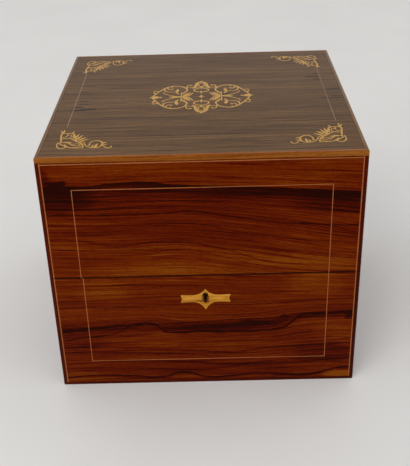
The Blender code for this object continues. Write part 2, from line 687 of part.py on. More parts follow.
def build_bolt(steel, base):
    """The bolt is one flat comb: a bar, and two hooked fingers that slide through the staples."""
    finger_top = RIM_HEIGHT - BOLT_FINGER_DROP
    finger_bottom = finger_top - BOLT_FINGER_HEIGHT
    bar_top = RIM_HEIGHT - BOLT_BAR_DROP
    bar_bottom = bar_top - BOLT_BAR_HEIGHT
    finger = BOLT_THROW - BOLT_APPROACH + BOLT_PASS
    left_tip = -STAPLE_SPREAD - STAPLE_THICKNESS / 2 - BOLT_APPROACH
    right_tip = STAPLE_SPREAD - STAPLE_THICKNESS / 2 - BOLT_APPROACH
    left_arm = left_tip - finger
    right_arm = right_tip - finger
    talon_right = (TALON_WIDTH - BOLT_THROW) / 2
    talon_left = talon_right - TALON_WIDTH
    outline = [
        (left_arm - BOLT_ARM, bar_bottom), (talon_left, bar_bottom), (talon_left, bar_bottom + TALON_DEPTH),
        (talon_right, bar_bottom + TALON_DEPTH), (talon_right, bar_bottom), (right_arm, bar_bottom),
        (right_arm, finger_bottom), (right_tip, finger_bottom), (right_tip, finger_top),
        (right_arm - BOLT_ARM, finger_top), (right_arm - BOLT_ARM, bar_top), (left_arm, bar_top),
        (left_arm, finger_bottom), (left_tip, finger_bottom), (left_tip, finger_top),
        (left_arm - BOLT_ARM, finger_top),
    ]
    middle = (0, WORKS_MIDDLE, bar_bottom + BOLT_BAR_HEIGHT / 2)
    centred = [(x, z - middle[2]) for x, z in outline]
    bm = extruded(centred, -BOLT_THICKNESS / 2, BOLT_THICKNESS / 2, "xz")
    piece("lock_bolt", mesh_of(bm, "lock_bolt", steel), base, middle)


def build_spring(steel, base):
    """A bowed leaf spring that stands between the selvedge and the bolt's bar."""
    top = RIM_HEIGHT - SELVEDGE - SEAT
    bottom = RIM_HEIGHT - BOLT_BAR_DROP + SEAT
    bends = 6
    outer = []
    inner = []
    for i in range(bends + 1):
        turn = math.pi / 2 * i / bends
        outer.append((-SPRING_REACH * math.cos(turn), top - (top - bottom) * math.sin(turn)))
        inner.append((-(SPRING_REACH - SPRING_THICKNESS) * math.cos(turn),
                      top - (top - bottom - SPRING_THICKNESS) * math.sin(turn)))
    low = WORKS_MIDDLE - SPRING_WIDTH / 2
    bm = extruded(outer + inner[::-1], low, low + SPRING_WIDTH, "xz")
    piece("lock_spring", mesh_of(bm, "lock_spring", steel, math.radians(40)), base)


def build_link_plate(brass, lid):
    """The plate in the lid's rim, and the two staples that stand through it for the bolt to catch."""
    plate_top = LID_RIM + LINK_PLATE
    plate = block((-LOCK_HALF_WIDTH, LOCK_FACE, LID_RIM), (LOCK_HALF_WIDTH, LOCK_BACK, plate_top))
    link = piece("link_plate", mesh_of(plate, "link_plate", brass), lid)
    half_eye = BOLT_THICKNESS / 2 + STAPLE_PLAY
    half_staple = half_eye + STAPLE_BAR
    eye_top = RIM_HEIGHT - BOLT_FINGER_DROP + STAPLE_SLOT_PLAY
    eye_bottom = RIM_HEIGHT - BOLT_FINGER_DROP - BOLT_FINGER_HEIGHT - STAPLE_SLOT_PLAY
    staple_bottom = LID_RIM - STAPLE_DROP
    for side, sign in (("left", -1), ("right", 1)):
        low = sign * STAPLE_SPREAD - STAPLE_THICKNESS / 2
        high = low + STAPLE_THICKNESS
        outline = [(WORKS_MIDDLE - half_staple, staple_bottom), (WORKS_MIDDLE + half_staple, staple_bottom),
                   (WORKS_MIDDLE + half_staple, plate_top), (WORKS_MIDDLE - half_staple, plate_top)]
        eye = [(WORKS_MIDDLE - half_eye, eye_bottom), (WORKS_MIDDLE + half_eye, eye_bottom),
               (WORKS_MIDDLE + half_eye, eye_top), (WORKS_MIDDLE - half_eye, eye_top)]
        staple = extruded(outline, low, high, "yz", (eye,))
        piece(f"staple_{side}", mesh_of(staple, f"staple_{side}", brass), lid)
        slot = block((low - SEAT, WORKS_MIDDLE - half_staple - SEAT, LID_RIM - OVERRUN),
                     (high + SEAT, WORKS_MIDDLE + half_staple + SEAT, plate_top + OVERRUN))
        shape(link, mesh_of(slot, f"staple_slot_{side}"))


def cut_lock_mortise(front):
    """Lets the lock into the front wall from inside and above, and cuts the keyhole and escutcheon bed."""
    top = RIM_HEIGHT + OVERRUN
    inside = LOCK_BACK + OVERRUN
    plate = block((-LOCK_HALF_WIDTH - SEAT, LOCK_BACK - LOCK_PLATE - SEAT, RIM_HEIGHT - LOCK_HEIGHT - SEAT),
                  (LOCK_HALF_WIDTH + SEAT, inside, top))
    works_bottom = RIM_HEIGHT - SELVEDGE - SEAT - CAP_HEIGHT - SEAT
    works = block((-CAP_HALF_WIDTH - SEAT, LOCK_FACE - SEAT, works_bottom),
                  (CAP_HALF_WIDTH + SEAT, inside, top))
    selvedge = block((-LOCK_HALF_WIDTH - SEAT, LOCK_FACE - SEAT, RIM_HEIGHT - SELVEDGE - SEAT),
                     (LOCK_HALF_WIDTH + SEAT, inside, top))
    shape(front, mesh_of(plate, "plate_mortise"))
    shape(front, mesh_of(works, "works_mortise"))
    shape(front, mesh_of(selvedge, "selvedge_mortise"))
    outside = -HALF_DEPTH - OVERRUN
    bed = extruded(escutcheon_outline(SEAT), outside, -HALF_DEPTH + ESCUTCHEON_THICKNESS + SEAT, "xz")
    shape(front, mesh_of(bed, "escutcheon_bed"))
    keyhole = extruded(keyhole_outline(), outside, LOCK_FACE + OVERRUN, "xz")
    shape(front, mesh_of(keyhole, "front_keyhole"))


# Rack

def glass_places():
    """The middles of the glasses, all round the rack in five rows of five with the inner nine left out."""
    rows = (-2, -1, 0, 1, 2)
    return [(GLASS_RING_X * column / 2, GLASS_RING_Y * row / 2) for row in rows for column in rows
            if max(abs(column), abs(row)) == 2]


def decanter_places():
    return [(x * DECANTER_PLACE, y * DECANTER_PLACE) for y in (-1, 1) for x in (-1, 1)]


def chamfered_square(half, chamfer, level=0):
    """Sixteen points round a square with cut corners: the middle and the ends of each of its eight sides."""
    corner = half - chamfer
    bevel = half - chamfer / 2
    first = [(half, 0), (half, corner), (bevel, bevel), (corner, half)]
    points = []
    for quarter in range(4):
        for x, y in first:
            for _ in range(quarter):
                x, y = -y, x
            points.append(Vector((x, y, level)))
    return points


def build_rack(wood, brass, rack):
    outline = rectangle(RACK_HALF_WIDTH, RACK_HALF_DEPTH)
    floor = extruded(outline, RACK_BASE, RACK_FLOOR_TOP)
    piece("rack_floor", mesh_of(floor, "rack_floor", wood), rack)

    holes = [circle(place, GLASS_HOLE, HOLE_SIDES) for place in glass_places()]
    for x, y in decanter_places():
        corners = chamfered_square(DECANTER_OPENING, DECANTER_CHAMFER)
        cut_corners = [point for i, point in enumerate(corners) if i % 2]
        holes.append([(x + point.x, y + point.y) for point in cut_corners])
    holes.append(circle((0, 0), HANDLE_ROD_RADIUS + HANDLE_PLAY, ROD_SIDES))
    shelf = extruded(outline, SHELF_BASE, SHELF_TOP, "xy", holes)
    piece("rack_shelf", mesh_of(shelf, "rack_shelf", wood), rack)

    build_posts(wood, rack)
    build_handle(brass, rack)


def build_posts(wood, rack):
    """Four turned posts, thicker at the ends and at a bead in the middle."""
    height = SHELF_RISE - 2 * SEAT
    end_share, neck_share, bead_share = 0.10, 0.16, 0.44
    half = [(0, 0), (POST_RADIUS, 0), (POST_RADIUS, height * end_share), (POST_WAIST, height * neck_share),
            (POST_WAIST, height * bead_share)]
    bead = [((POST_RADIUS + POST_WAIST) / 2, height / 2)]
    profile = half + bead + [(radius, height - level) for radius, level in reversed(half)]
    mesh = mesh_of(turned(profile, ROD_SIDES), "rack_post", wood, math.radians(50))
    for row, y in (("front", -1), ("back", 1)):
        for side, x in (("left", -1), ("right", 1)):
            place = (x * (RACK_HALF_WIDTH - POST_INSET), y * (RACK_HALF_DEPTH - POST_INSET), STAND)
            piece(f"rack_post_{row}_{side}", mesh, rack, place)


def build_handle(brass, rack):
    """A flange on the floor, a rod between the decanters, and a ring to lift the rack by."""
    ring_bottom = CASE_HEIGHT - HANDLE_DROP - HANDLE_RING_RADIUS * 2 - STAND
    knob = ring_bottom - HANDLE_KNOB_RADIUS
    profile = [(0, 0), (HANDLE_FLANGE_RADIUS, 0), (HANDLE_FLANGE_RADIUS, HANDLE_FLANGE),
               (HANDLE_ROD_RADIUS, HANDLE_FLANGE * 2), (HANDLE_ROD_RADIUS, knob - HANDLE_KNOB_RADIUS),
               (HANDLE_KNOB_RADIUS, knob), (HANDLE_ROD_RADIUS, knob + HANDLE_KNOB_RADIUS),
               (0, ring_bottom + HANDLE_RING_WIRE / 2)]
    mesh = mesh_of(turned(profile, ROD_SIDES), "rack_handle", brass, math.radians(50))
    handle = piece("rack_handle", mesh, rack, (0, 0, STAND))
    wire = circle((HANDLE_RING_RADIUS, 0), HANDLE_RING_WIRE, 8)
    ring = turned(wire, HOLE_SIDES, closed=True)
    bmesh.ops.rotate(ring, cent=(0, 0, 0), matrix=Matrix.Rotation(math.pi / 2, 3, "X"), verts=ring.verts)
    bmesh.ops.translate(ring, vec=(0, 0, STAND + ring_bottom + HANDLE_RING_RADIUS), verts=ring.verts)
    shape(handle, mesh_of(ring, "handle_ring"), "UNION")


# Glass

def glass_mesh(crystal):
    """A small stemmed glass with flat-cut panels: foot, knopped stem and deep bowl."""
    bowl_base = GLASS_HEIGHT - BOWL_DEPTH
    knop = bowl_base - KNOP_HALF_HEIGHT * 2
    round_share, cup_share, belly_share, floor_share = 0.62, 0.16, 0.95, 0.28
    outer = [
        (0, 0), (FOOT_RADIUS, 0), (FOOT_RADIUS, FOOT_THICKNESS), (STEM_RADIUS, FOOT_THICKNESS + FOOT_CONE),
        (STEM_RADIUS, knop - KNOP_HALF_HEIGHT), (KNOP_RADIUS, knop), (STEM_RADIUS, knop + KNOP_HALF_HEIGHT),
        (BOWL_RADIUS * round_share, bowl_base + BOWL_DEPTH * cup_share / 2),
        (BOWL_RADIUS * belly_share, bowl_base + BOWL_DEPTH * floor_share), (BOWL_RADIUS, GLASS_HEIGHT),
    ]
    inner = [
        (BOWL_RADIUS - BOWL_WALL, GLASS_HEIGHT),
        (BOWL_RADIUS * belly_share - BOWL_WALL, bowl_base + BOWL_DEPTH * floor_share + BOWL_WALL),
        (BOWL_RADIUS * round_share - BOWL_WALL, bowl_base + BOWL_DEPTH * cup_share + BOWL_WALL),
        (0, bowl_base + BOWL_DEPTH * cup_share),
    ]
    return mesh_of(turned(outer + inner, GLASS_SIDES), "liqueur_glass", crystal, math.radians(30))


def ring_at(radius, level, sides=DECANTER_SIDES):
    return [Vector((x, y, level)) for x, y in circle((0, 0), radius, sides)]


def cut_octagon(radius, level):
    """A regular octagon across flats of twice the radius, with the points of a chamfered square."""
    return chamfered_square(radius, radius * OCTAGON_CUT_SHARE, level)


def decanter_mesh(crystal):
    """A square decanter: cut corners, sloping shoulders, an eight-sided neck and a round lip."""
    inner_half = DECANTER_HALF - DECANTER_WALL
    inner_chamfer = DECANTER_CHAMFER - DECANTER_WALL * OCTAGON_CUT_SHARE
    foot_cut = DECANTER_WALL / 4
    rings = [
        chamfered_square(DECANTER_HALF - foot_cut, DECANTER_CHAMFER, 0),
        chamfered_square(DECANTER_HALF, DECANTER_CHAMFER, foot_cut),
        chamfered_square(DECANTER_HALF, DECANTER_CHAMFER, DECANTER_SHOULDER),
        cut_octagon(NECK_RADIUS, NECK_BASE),
        cut_octagon(NECK_RADIUS, NECK_BASE + NECK_HEIGHT),
        ring_at(LIP_RADIUS, DECANTER_HEIGHT - LIP_THICKNESS),
        ring_at(LIP_RADIUS, DECANTER_HEIGHT),
        ring_at(NECK_BORE, DECANTER_HEIGHT),
        ring_at(NECK_BORE, NECK_BASE - DECANTER_WALL),
        chamfered_square(inner_half, inner_chamfer, DECANTER_SHOULDER - DECANTER_WALL / 2),
        chamfered_square(inner_half, inner_chamfer, DECANTER_BASE + DECANTER_WALL / 2),
        chamfered_square(inner_half - DECANTER_WALL / 2, inner_chamfer, DECANTER_BASE),
    ]
    return mesh_of(lofted(rings), "decanter", crystal, math.radians(24))


def stopper_mesh(crystal):
    """A ground stopper: tapered plug, collar on the lip, and a knob cut in facets. The collar starts at 0."""
    plug = NECK_BORE - SEAT
    waist_share, shoulder_share, crown_share = 0.55, 0.42, 0.50
    knob_base = STOPPER_COLLAR_THICKNESS
    rings = [
        ring_at(plug - STOPPER_TAPER, -STOPPER_PLUG),
        ring_at(plug, 0),
        ring_at(STOPPER_COLLAR, 0),
        ring_at(STOPPER_COLLAR, STOPPER_COLLAR_THICKNESS),
        cut_octagon(STOPPER_KNOB * waist_share, knob_base + STOPPER_COLLAR_THICKNESS),
        cut_octagon(STOPPER_KNOB, knob_base + STOPPER_KNOB_HEIGHT * shoulder_share),
        cut_octagon(STOPPER_KNOB * crown_share, knob_base + STOPPER_KNOB_HEIGHT),
    ]
    return mesh_of(lofted(rings), "stopper", crystal, math.radians(24))


def build_glassware(crystal, rack):
    glass = glass_mesh(crystal)
    for number, (x, y) in enumerate(glass_places(), 1):
        piece(f"glass_{number:02d}", glass, rack, (x, y, STAND))
    decanter = decanter_mesh(crystal)
    stopper = stopper_mesh(crystal)
    for number, (x, y) in enumerate(decanter_places(), 1):
        holder = piece(f"decanter_{number}", decanter, rack, (x, y, STAND))
        piece(f"stopper_{number}", stopper, holder, (x, y, STAND + DECANTER_HEIGHT + SEAT))


# The whole case

def build_base(rosewood, light_wood, boxwood, base):
    for side in TURNS:
        board = wall(side, base_profile(), RIM_HEIGHT, 1)
        made = piece(f"base_{side}", mesh_of(board, f"base_{side}", rosewood), base)
        if side == "front":
            cut_lock_mortise(made)
        if side == "back":
            cut_hinge_gains(made, RIM_HEIGHT, RIM_HEIGHT - LEAF_THICKNESS - SEAT, RIM_HEIGHT + OVERRUN)
    reach_x = HALF_WIDTH - BOTTOM_LIP - SEAT
    reach_y = HALF_DEPTH - BOTTOM_LIP - SEAT
    bottom = block((-reach_x, -reach_y, 0), (reach_x, reach_y, BOTTOM_BOARD))
    piece("base_bottom", mesh_of(bottom, "base_bottom", rosewood), base)
    strips, spaces = edging(0, RIM_HEIGHT, FOOT_EDGING_HEIGHT, RIM_HEIGHT + OVERRUN, RIM_HEIGHT, 1)
    made = piece("base_edging", mesh_of(strips, "base_edging", light_wood), base)
    for number, space in enumerate(spaces):
        shape(made, mesh_of(space, f"base_edging_space_{number}"))
    plate = extruded(escutcheon_outline(0), -HALF_DEPTH, -HALF_DEPTH + ESCUTCHEON_THICKNESS, "xz",
                     (keyhole_outline(),))
    piece("escutcheon", mesh_of(plate, "escutcheon", boxwood), base)


def build_lid(rosewood, light_wood, boxwood, lid):
    for side in TURNS:
        board = wall(side, lid_profile(), LID_RIM, -1)
        made = piece(f"lid_{side}", mesh_of(board, f"lid_{side}", rosewood), lid)
        if side == "front":
            link_bed = block((-LOCK_HALF_WIDTH - SEAT, LOCK_FACE - SEAT, LID_RIM - OVERRUN),
                             (LOCK_HALF_WIDTH + SEAT, LOCK_BACK + OVERRUN, LID_RIM + LINK_PLATE + SEAT))
            shape(made, mesh_of(link_bed, "link_plate_bed"))
        if side == "back":
            cut_hinge_gains(made, LID_RIM, LID_RIM - OVERRUN, LID_RIM + LEAF_THICKNESS + SEAT)
    reach_x = HALF_WIDTH - EDGING_WIDTH - SEAT
    reach_y = HALF_DEPTH - EDGING_WIDTH - SEAT
    top = block((-reach_x, -reach_y, CASE_HEIGHT - TOP_BOARD), (reach_x, reach_y, CASE_HEIGHT))
    board = piece("lid_top", mesh_of(top, "lid_top", rosewood), lid)
    cap_base = CASE_HEIGHT - TOP_EDGING_HEIGHT
    strips, spaces = edging(LID_RIM, CASE_HEIGHT, LID_RIM - OVERRUN, cap_base, LID_RIM, -1)
    made = piece("lid_edging", mesh_of(strips, "lid_edging", light_wood), lid)
    for number, space in enumerate(spaces):
        shape(made, mesh_of(space, f"lid_edging_space_{number}"))
    build_inlay(board, boxwood, lid)


def build_inlay(board, boxwood, lid):
    """The medallion and the corner sprays, flush with the top in shallow beds."""
    bed_low = CASE_HEIGHT - INLAY_THICKNESS - SEAT
    inlay_low = CASE_HEIGHT - INLAY_THICKNESS
    outlines = motif_outlines(MEDALLION_STROKE_SHARES, MEDALLION_LEAF_SHARES, MEDALLION_DOT_SHARES)
    quarters = ((1, 1), (-1, 1), (1, -1), (-1, -1))
    medallion = inlay(outlines, quarters, MEDALLION_HALF_WIDTH, inlay_low, CASE_HEIGHT)
    piece("medallion", mesh_of(medallion, "medallion", boxwood), lid)
    oval = [(x * (MEDALLION_HALF_WIDTH + MEDALLION_MARGIN), y * (MEDALLION_HALF_DEPTH + MEDALLION_MARGIN))
            for x, y in circle((0, 0), 1, 32)]
    shape(board, mesh_of(extruded(oval, bed_low, CASE_HEIGHT + OVERRUN), "medallion_bed"))

    spray = motif_outlines(SPRAY_STROKE_SHARES, SPRAY_LEAF_SHARES, SPRAY_DOT_SHARES)
    for row, y in (("front", -1), ("back", 1)):
        for side, x in (("left", -1), ("right", 1)):
            corner = (x * (HALF_WIDTH - SPRAY_INSET_X), y * (HALF_DEPTH - SPRAY_INSET_Y), 0)
            bm = inlay(spray, ((-x, -y),), SPRAY_LENGTH, inlay_low, CASE_HEIGHT)
            piece(f"corner_spray_{row}_{side}", mesh_of(bm, f"spray_{row}_{side}", boxwood), lid, corner)
            bed = [(corner[0] - x * across * SPRAY_LENGTH, corner[1] - y * back * SPRAY_LENGTH)
                   for across, back in SPRAY_POCKET_SHARES]
            shape(board, mesh_of(extruded(bed, bed_low, CASE_HEIGHT + OVERRUN), f"spray_bed_{row}_{side}"))


def main():
    clear_scene()
    rosewood = material("rosewood", (0.18, 0.05, 0.015), WOOD_LOOK)
    light_wood = material("light_rosewood", (0.30, 0.13, 0.04), WOOD_LOOK)
    boxwood = material("boxwood", (0.60, 0.36, 0.13), WOOD_LOOK)
    rack_wood = material("rack_mahogany", (0.13, 0.04, 0.02), WOOD_LOOK)
    brass = material("brass", (0.70, 0.48, 0.20), METAL_LOOK)
    steel = material("steel", (0.42, 0.42, 0.44), METAL_LOOK)
    crystal = material("crystal", (0.92, 0.95, 0.95), GLASS_LOOK, 0.3)

    base = pivot("case_foot", (0, 0, 0))
    lid = pivot("lid_hinge_axis", (0, HINGE_Y, HINGE_Z), base)
    rack = pivot("rack_lift", (0, 0, RACK_BASE), base)

    build_base(rosewood, light_wood, boxwood, base)
    build_lid(rosewood, light_wood, boxwood, lid)
    for side, sign in (("left", -1), ("right", 1)):
        build_hinge(side, sign, brass, base, lid)
    build_lock(brass, steel, base, lid)
    build_rack(rack_wood, brass, rack)
    build_glassware(crystal, rack)


main()
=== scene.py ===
"""A liqueur case of figured rosewood inlaid with boxwood, with its lock, hinges, rack and cut glass.

Lengths are in metres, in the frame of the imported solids: the front faces -Y and +Z is up.
"""

import math

import bmesh
import bpy
from mathutils import Matrix, Vector
from mathutils.geometry import convex_hull_2d, delaunay_2d_cdt


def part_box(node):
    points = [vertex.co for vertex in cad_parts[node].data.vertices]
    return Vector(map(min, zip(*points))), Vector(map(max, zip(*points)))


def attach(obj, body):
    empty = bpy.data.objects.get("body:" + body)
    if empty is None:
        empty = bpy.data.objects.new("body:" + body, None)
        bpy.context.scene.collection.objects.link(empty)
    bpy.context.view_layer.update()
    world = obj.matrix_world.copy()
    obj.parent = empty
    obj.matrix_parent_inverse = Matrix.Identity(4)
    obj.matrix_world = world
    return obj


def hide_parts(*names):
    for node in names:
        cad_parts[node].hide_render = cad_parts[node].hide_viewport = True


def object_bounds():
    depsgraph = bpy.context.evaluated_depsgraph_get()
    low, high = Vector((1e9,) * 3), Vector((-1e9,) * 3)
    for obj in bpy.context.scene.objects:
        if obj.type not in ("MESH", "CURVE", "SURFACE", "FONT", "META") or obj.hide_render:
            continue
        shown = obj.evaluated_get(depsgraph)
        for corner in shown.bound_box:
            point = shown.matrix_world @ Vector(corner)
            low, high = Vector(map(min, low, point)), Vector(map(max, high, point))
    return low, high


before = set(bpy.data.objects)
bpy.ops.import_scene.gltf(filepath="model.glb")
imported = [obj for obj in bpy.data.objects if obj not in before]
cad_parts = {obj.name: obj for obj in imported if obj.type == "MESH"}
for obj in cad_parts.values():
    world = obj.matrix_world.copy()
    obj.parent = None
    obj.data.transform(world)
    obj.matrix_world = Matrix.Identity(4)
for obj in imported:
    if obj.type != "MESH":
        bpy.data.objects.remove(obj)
packed_low, packed_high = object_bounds()

# The walls of the base and the lid are mahogany boards, veneered outside with figured rosewood whose grain
# runs level. A boxwood line is let in along every arris, and a second one frames the whole front.
OUTER_LINE = 0.0010
INNER_LINE = 0.0007
HEAD_LINE_GAP = 0.0008
INNER_LINE_SIDE = 0.0303
INNER_LINE_FOOT = 0.0296
INNER_LINE_HEAD = 0.0320
BASE_LINE_SHIFT = 0.0017
VENEER_DEPTH = 0.0002
WELD = 0.000001
FLAT = math.radians(0.2)
ESCUTCHEON_ARM = 0.0044
ESCUTCHEON_FLANK = 0.0140
ESCUTCHEON_REACH = 0.0120
ESCUTCHEON_BED_PLAY = 0.0005
KEYHOLE_REACH = 0.0032
KEYHOLE_RISE = 0.0068
HEAD_POINT_SHARE = 0.08
FOOT_POINT_SHARE = 0.38
# Painted shade along the seam between base and lid: how near it stays full, how far it reaches, how dark it
# is
SEAM_SHADE_NEAR = 0.0003
SEAM_SHADE_FAR = 0.0014
SEAM_SHADE_SHARE = 0.90
VENEERED = 1
LINED = 2
seam_level = (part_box("base_edging")[1][2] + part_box("lid_edging")[0][2]) / 2

ROSEWOOD_DARK = (0.010, 0.0010, 0.0008)
ROSEWOOD_DEEP = (0.044, 0.0022, 0.0006)
ROSEWOOD_RED = (0.086, 0.0052, 0.0005)
ROSEWOOD_BROWN = (0.138, 0.0180, 0.0005)
ROSEWOOD_GOLD = (0.205, 0.0520, 0.0025)
ROSEWOOD_STOPS = ((0.00, ROSEWOOD_DARK), (0.24, ROSEWOOD_DEEP), (0.44, ROSEWOOD_RED), (0.74, ROSEWOOD_BROWN),
                  (1.00, ROSEWOOD_GOLD))
STRINGING_STOPS = ((0.0, (0.15, 0.035, 0.010)), (0.5, (0.33, 0.108, 0.034)), (1.0, (0.52, 0.215, 0.080)))
MAHOGANY_STOPS = ((0.0, (0.060, 0.016, 0.006)), (0.5, (0.130, 0.040, 0.015)), (1.0, (0.210, 0.075, 0.028)))

# The strong lines of the front's figure, as shares of its width and height: the route, how far the line
# reaches above and below it, and how much it darkens the wood
DARK_BAND_SHARES = (
    (0, 0.889), (0.07, 0.888), (0.14, 0.887), (0.21, 0.895), (0.28, 0.9), (0.34, 0.9), (0.39, 0.891),
    (0.49, 0.882), (0.62, 0.874), (0.74, 0.864), (0.83, 0.856), (1, 0.843),
)
FRONT_LINE_SHARES = (
    (DARK_BAND_SHARES, 0.003, 0.125, 0.3),
    (DARK_BAND_SHARES, 0.003, 0.03, 0.38),
    (((0, 0.86), (0.3, 0.868), (0.6, 0.85), (0.8, 0.835), (1, 0.805)), 0.004, 0.012, 0.22),
    (((0, 0.83), (0.3, 0.825), (0.55, 0.822), (0.8, 0.8), (1, 0.775)), 0.004, 0.009, 0.2),
    (((0, 0.777), (0.2, 0.772), (0.41, 0.777), (0.46, 0.782), (0.58, 0.757), (0.74, 0.728), (1, 0.708)),
      0.004, 0.008, 0.34),
    (((0, 0.735), (0.2, 0.728), (0.38, 0.73), (0.48, 0.728), (0.6, 0.694), (0.76, 0.66), (1, 0.64)), 0.003,
      0.006, 0.24),
    (((0, 0.675), (0.1, 0.67), (0.23, 0.641), (0.33, 0.655), (0.39, 0.655), (0.45, 0.652), (0.53, 0.631),
      (0.63, 0.592), (0.7, 0.563), (0.89, 0.544), (1, 0.532)), 0.004, 0.006, 0.32),
    (((0, 0.635), (0.15, 0.622), (0.3, 0.61), (0.45, 0.622), (0.55, 0.59), (0.7, 0.54), (1, 0.51)), 0.003,
      0.005, 0.22),
    (((0, 0.257), (0.1, 0.267), (0.2, 0.282), (0.24, 0.282), (0.33, 0.286), (0.36, 0.252), (0.39, 0.245),
      (0.49, 0.248), (0.58, 0.245), (0.7, 0.248), (0.76, 0.262), (0.79, 0.291), (0.81, 0.313),
      (0.89, 0.318), (0.96, 0.324), (1, 0.314)), 0.01, 0.005, 0.85),
    (((0, 0.27), (0.36, 0.262), (0.49, 0.268), (0.62, 0.274), (0.74, 0.285), (0.79, 0.302), (1, 0.32)),
      0.034, 0.012, 0.24),
    (((0, 0.212), (0.09, 0.23), (0.16, 0.238), (0.19, 0.245), (0.24, 0.277), (0.3, 0.284), (1, 0.31)),
      0.004, 0.004, 0.5),
    (((0, 0.19), (0.41, 0.165), (0.49, 0.155), (0.58, 0.146), (0.7, 0.165), (0.83, 0.175), (1, 0.18)),
      0.003, 0.01, 0.3),
    (((0, 0.16), (0.4, 0.145), (0.6, 0.125), (0.8, 0.145), (1, 0.155)), 0.003, 0.01, 0.24),
    (((0, 0.102), (0.16, 0.112), (0.33, 0.112), (0.66, 0.087), (1, 0.107)), 0.004, 0.014, 0.3),
    (((0, 0.06), (0.2, 0.075), (0.5, 0.065), (0.8, 0.105), (1, 0.075)), 0.003, 0.006, 0.26),
    (((0, 0.034), (0.1, 0.044), (0.24, 0.039), (0.36, 0.034), (0.4, 0.052), (0.44, 0.05), (0.49, 0.029),
      (0.58, 0.03), (0.66, 0.04), (0.74, 0.036), (0.83, 0.028), (0.88, 0.036), (0.93, 0.055), (1, 0.065)),
      0.003, 0.014, 0.6),
)

# Lighter and darker places in it: their middle, how far they reach each way, and how much they darken the
# wood, or lighten it where that is negative
FRONT_CLOUD_SHARES = (
    ((0.052, 0.908), (0.044, 0.02), 0.9), ((0.02, 0.93), (0.024, 0.03), 0.34),
    ((0.755, 0.303), (0.022, 0.012), 0.4), ((0.975, 0.32), (0.022, 0.018), 0.45),
    ((0.04, 0.84), (0.16, 0.08), 0.32), ((0.93, 0.8), (0.19, 0.075), 0.24),
    ((0.45, 0.845), (0.45, 0.035), 0.14), ((0.3, 0.945), (0.4, 0.04), -0.12),
    ((0.8, 0.925), (0.25, 0.05), -0.12), ((0.42, 0.545), (0.36, 0.055), -0.22),
    ((0.83, 0.54), (0.24, 0.065), -0.28), ((0.42, 0.72), (0.48, 0.1), 0.12),
    ((0.172, 0.437), (0.11, 0.07), -0.18), ((0.86, 0.456), (0.13, 0.07), -0.18),
    ((0.64, 0.36), (0.3, 0.05), -0.08), ((0.56, 0.268), (0.25, 0.03), 0.3),
    ((0.72, 0.285), (0.12, 0.022), 0.18), ((0.18, 0.255), (0.2, 0.016), 0.1),
    ((0.52, 0.195), (0.3, 0.038), -0.13), ((0.314, 0.205), (0.16, 0.05), -0.12),
    ((0.93, 0.25), (0.09, 0.06), -0.14), ((0.08, 0.215), (0.11, 0.06), 0.16),
    ((0.9, 0.135), (0.15, 0.06), 0.28), ((0.96, 0.028), (0.09, 0.032), -0.65),
    ((0.45, 0.075), (0.5, 0.045), 0.16), ((0.07, 0.03), (0.13, 0.04), -0.14),
)

# How the grain lies: how far the fibres rise or fall along the front, as a share of its height added to a
# half, and how strongly they do so at each level
FRONT_LIE_SHARES = (
    (((0, 0.51), (0.15, 0.505), (0.3, 0.505), (0.43, 0.502), (0.6, 0.472), (0.8, 0.43), (1, 0.395)),
     ((0, 0), (0.35, 0.05), (0.5, 0.55), (0.6, 0.9), (0.75, 0.6), (0.9, 0.3), (1, 0.2))),
    (((0, 0.485), (0.2, 0.51), (0.32, 0.512), (0.4, 0.485), (0.7, 0.485), (0.82, 0.53), (1, 0.535)),
     ((0, 0.05), (0.12, 0.1), (0.22, 0.4), (0.28, 0.6), (0.36, 0.2), (0.46, 0), (1, 0))),
)

# The threads of a grain, and what tears a line ragged: their length, their width and how broken they are
SWAY_THREAD = (0.11, 0.035, 1.0)
BAND_THREAD = (0.340, 0.014, 2.0)
FINE_THREAD = (0.160, 0.0018, 3.0)
HAIR_THREAD = (0.060, 0.0007, 2.0)
VEIN_THREAD = (0.180, 0.0012, 2.0)
PORE_THREAD = (0.0060, 0.00040, 0.0)
LINE_TEAR = (0.012, 0.003, 3.0)
CLOUD_TEAR = (0.030, 0.006, 3.0)
THREAD_BREAK_SHARE = 0.6
EVEN_SHARE = 0.5
LINE_TEAR_SHARE = 0.010
CLOUD_TEAR_SHARE = 0.08
VEIN_SHARES = (0.33, 0.46)
PORE_SHARES = (0.58, 0.70)
PORE_SHADE = 0.20
PORE_DEPTH_SHARE = 0.6
DULLNESS_SPREAD = 0.16
GRAIN_SWAY = 0.004
FRONT_SWAY = 0.002
GRAIN_RELIEF = 0.0002
GRAIN_STRENGTH = 0.12
POLISH_TINT = (1.0, 0.6, 0.35)
SHELLAC_TINT = (1.0, 0.18, 0.03)


def new_finish(name):
    """An empty finish and the shader that its colour, gloss and relief go to."""
    finish = bpy.data.materials.new(name)
    finish.use_nodes = True
    return finish, finish.node_tree.nodes["Principled BSDF"]


def feed(finish, made, feeds):
    """Feeds a step of a finish, or its shader, with other steps or plain values."""
    for name, value in feeds.items():
        if isinstance(value, bpy.types.NodeSocket):
            finish.node_tree.links.new(value, made.inputs[name])
        else:
            made.inputs[name].default_value = value


def step(finish, kind, feeds, outcome=0, **choices):
    """Adds one step of a finish, fed by other steps or plain values, and gives what comes out of it."""
    made = finish.node_tree.nodes.new(kind)
    for choice, value in choices.items():
        setattr(made, choice, value)
    feed(finish, made, feeds)
    return made.outputs[outcome]


def sums(finish, operation, first, second=0.0, third=0.0):
    """One sum with values of a finish, named as Blender names it."""
    return step(finish, "ShaderNodeMath", {0: first, 1: second, 2: third}, operation=operation)


def spread(finish, value, low, high, to_low=0.0, to_high=1.0, ease="LINEAR"):
    """Spreads the part of a value between low and high over to_low and to_high."""
    feeds = {"Value": value, "From Min": low, "From Max": high, "To Min": to_low, "To Max": to_high}
    return step(finish, "ShaderNodeMapRange", feeds, interpolation_type=ease)


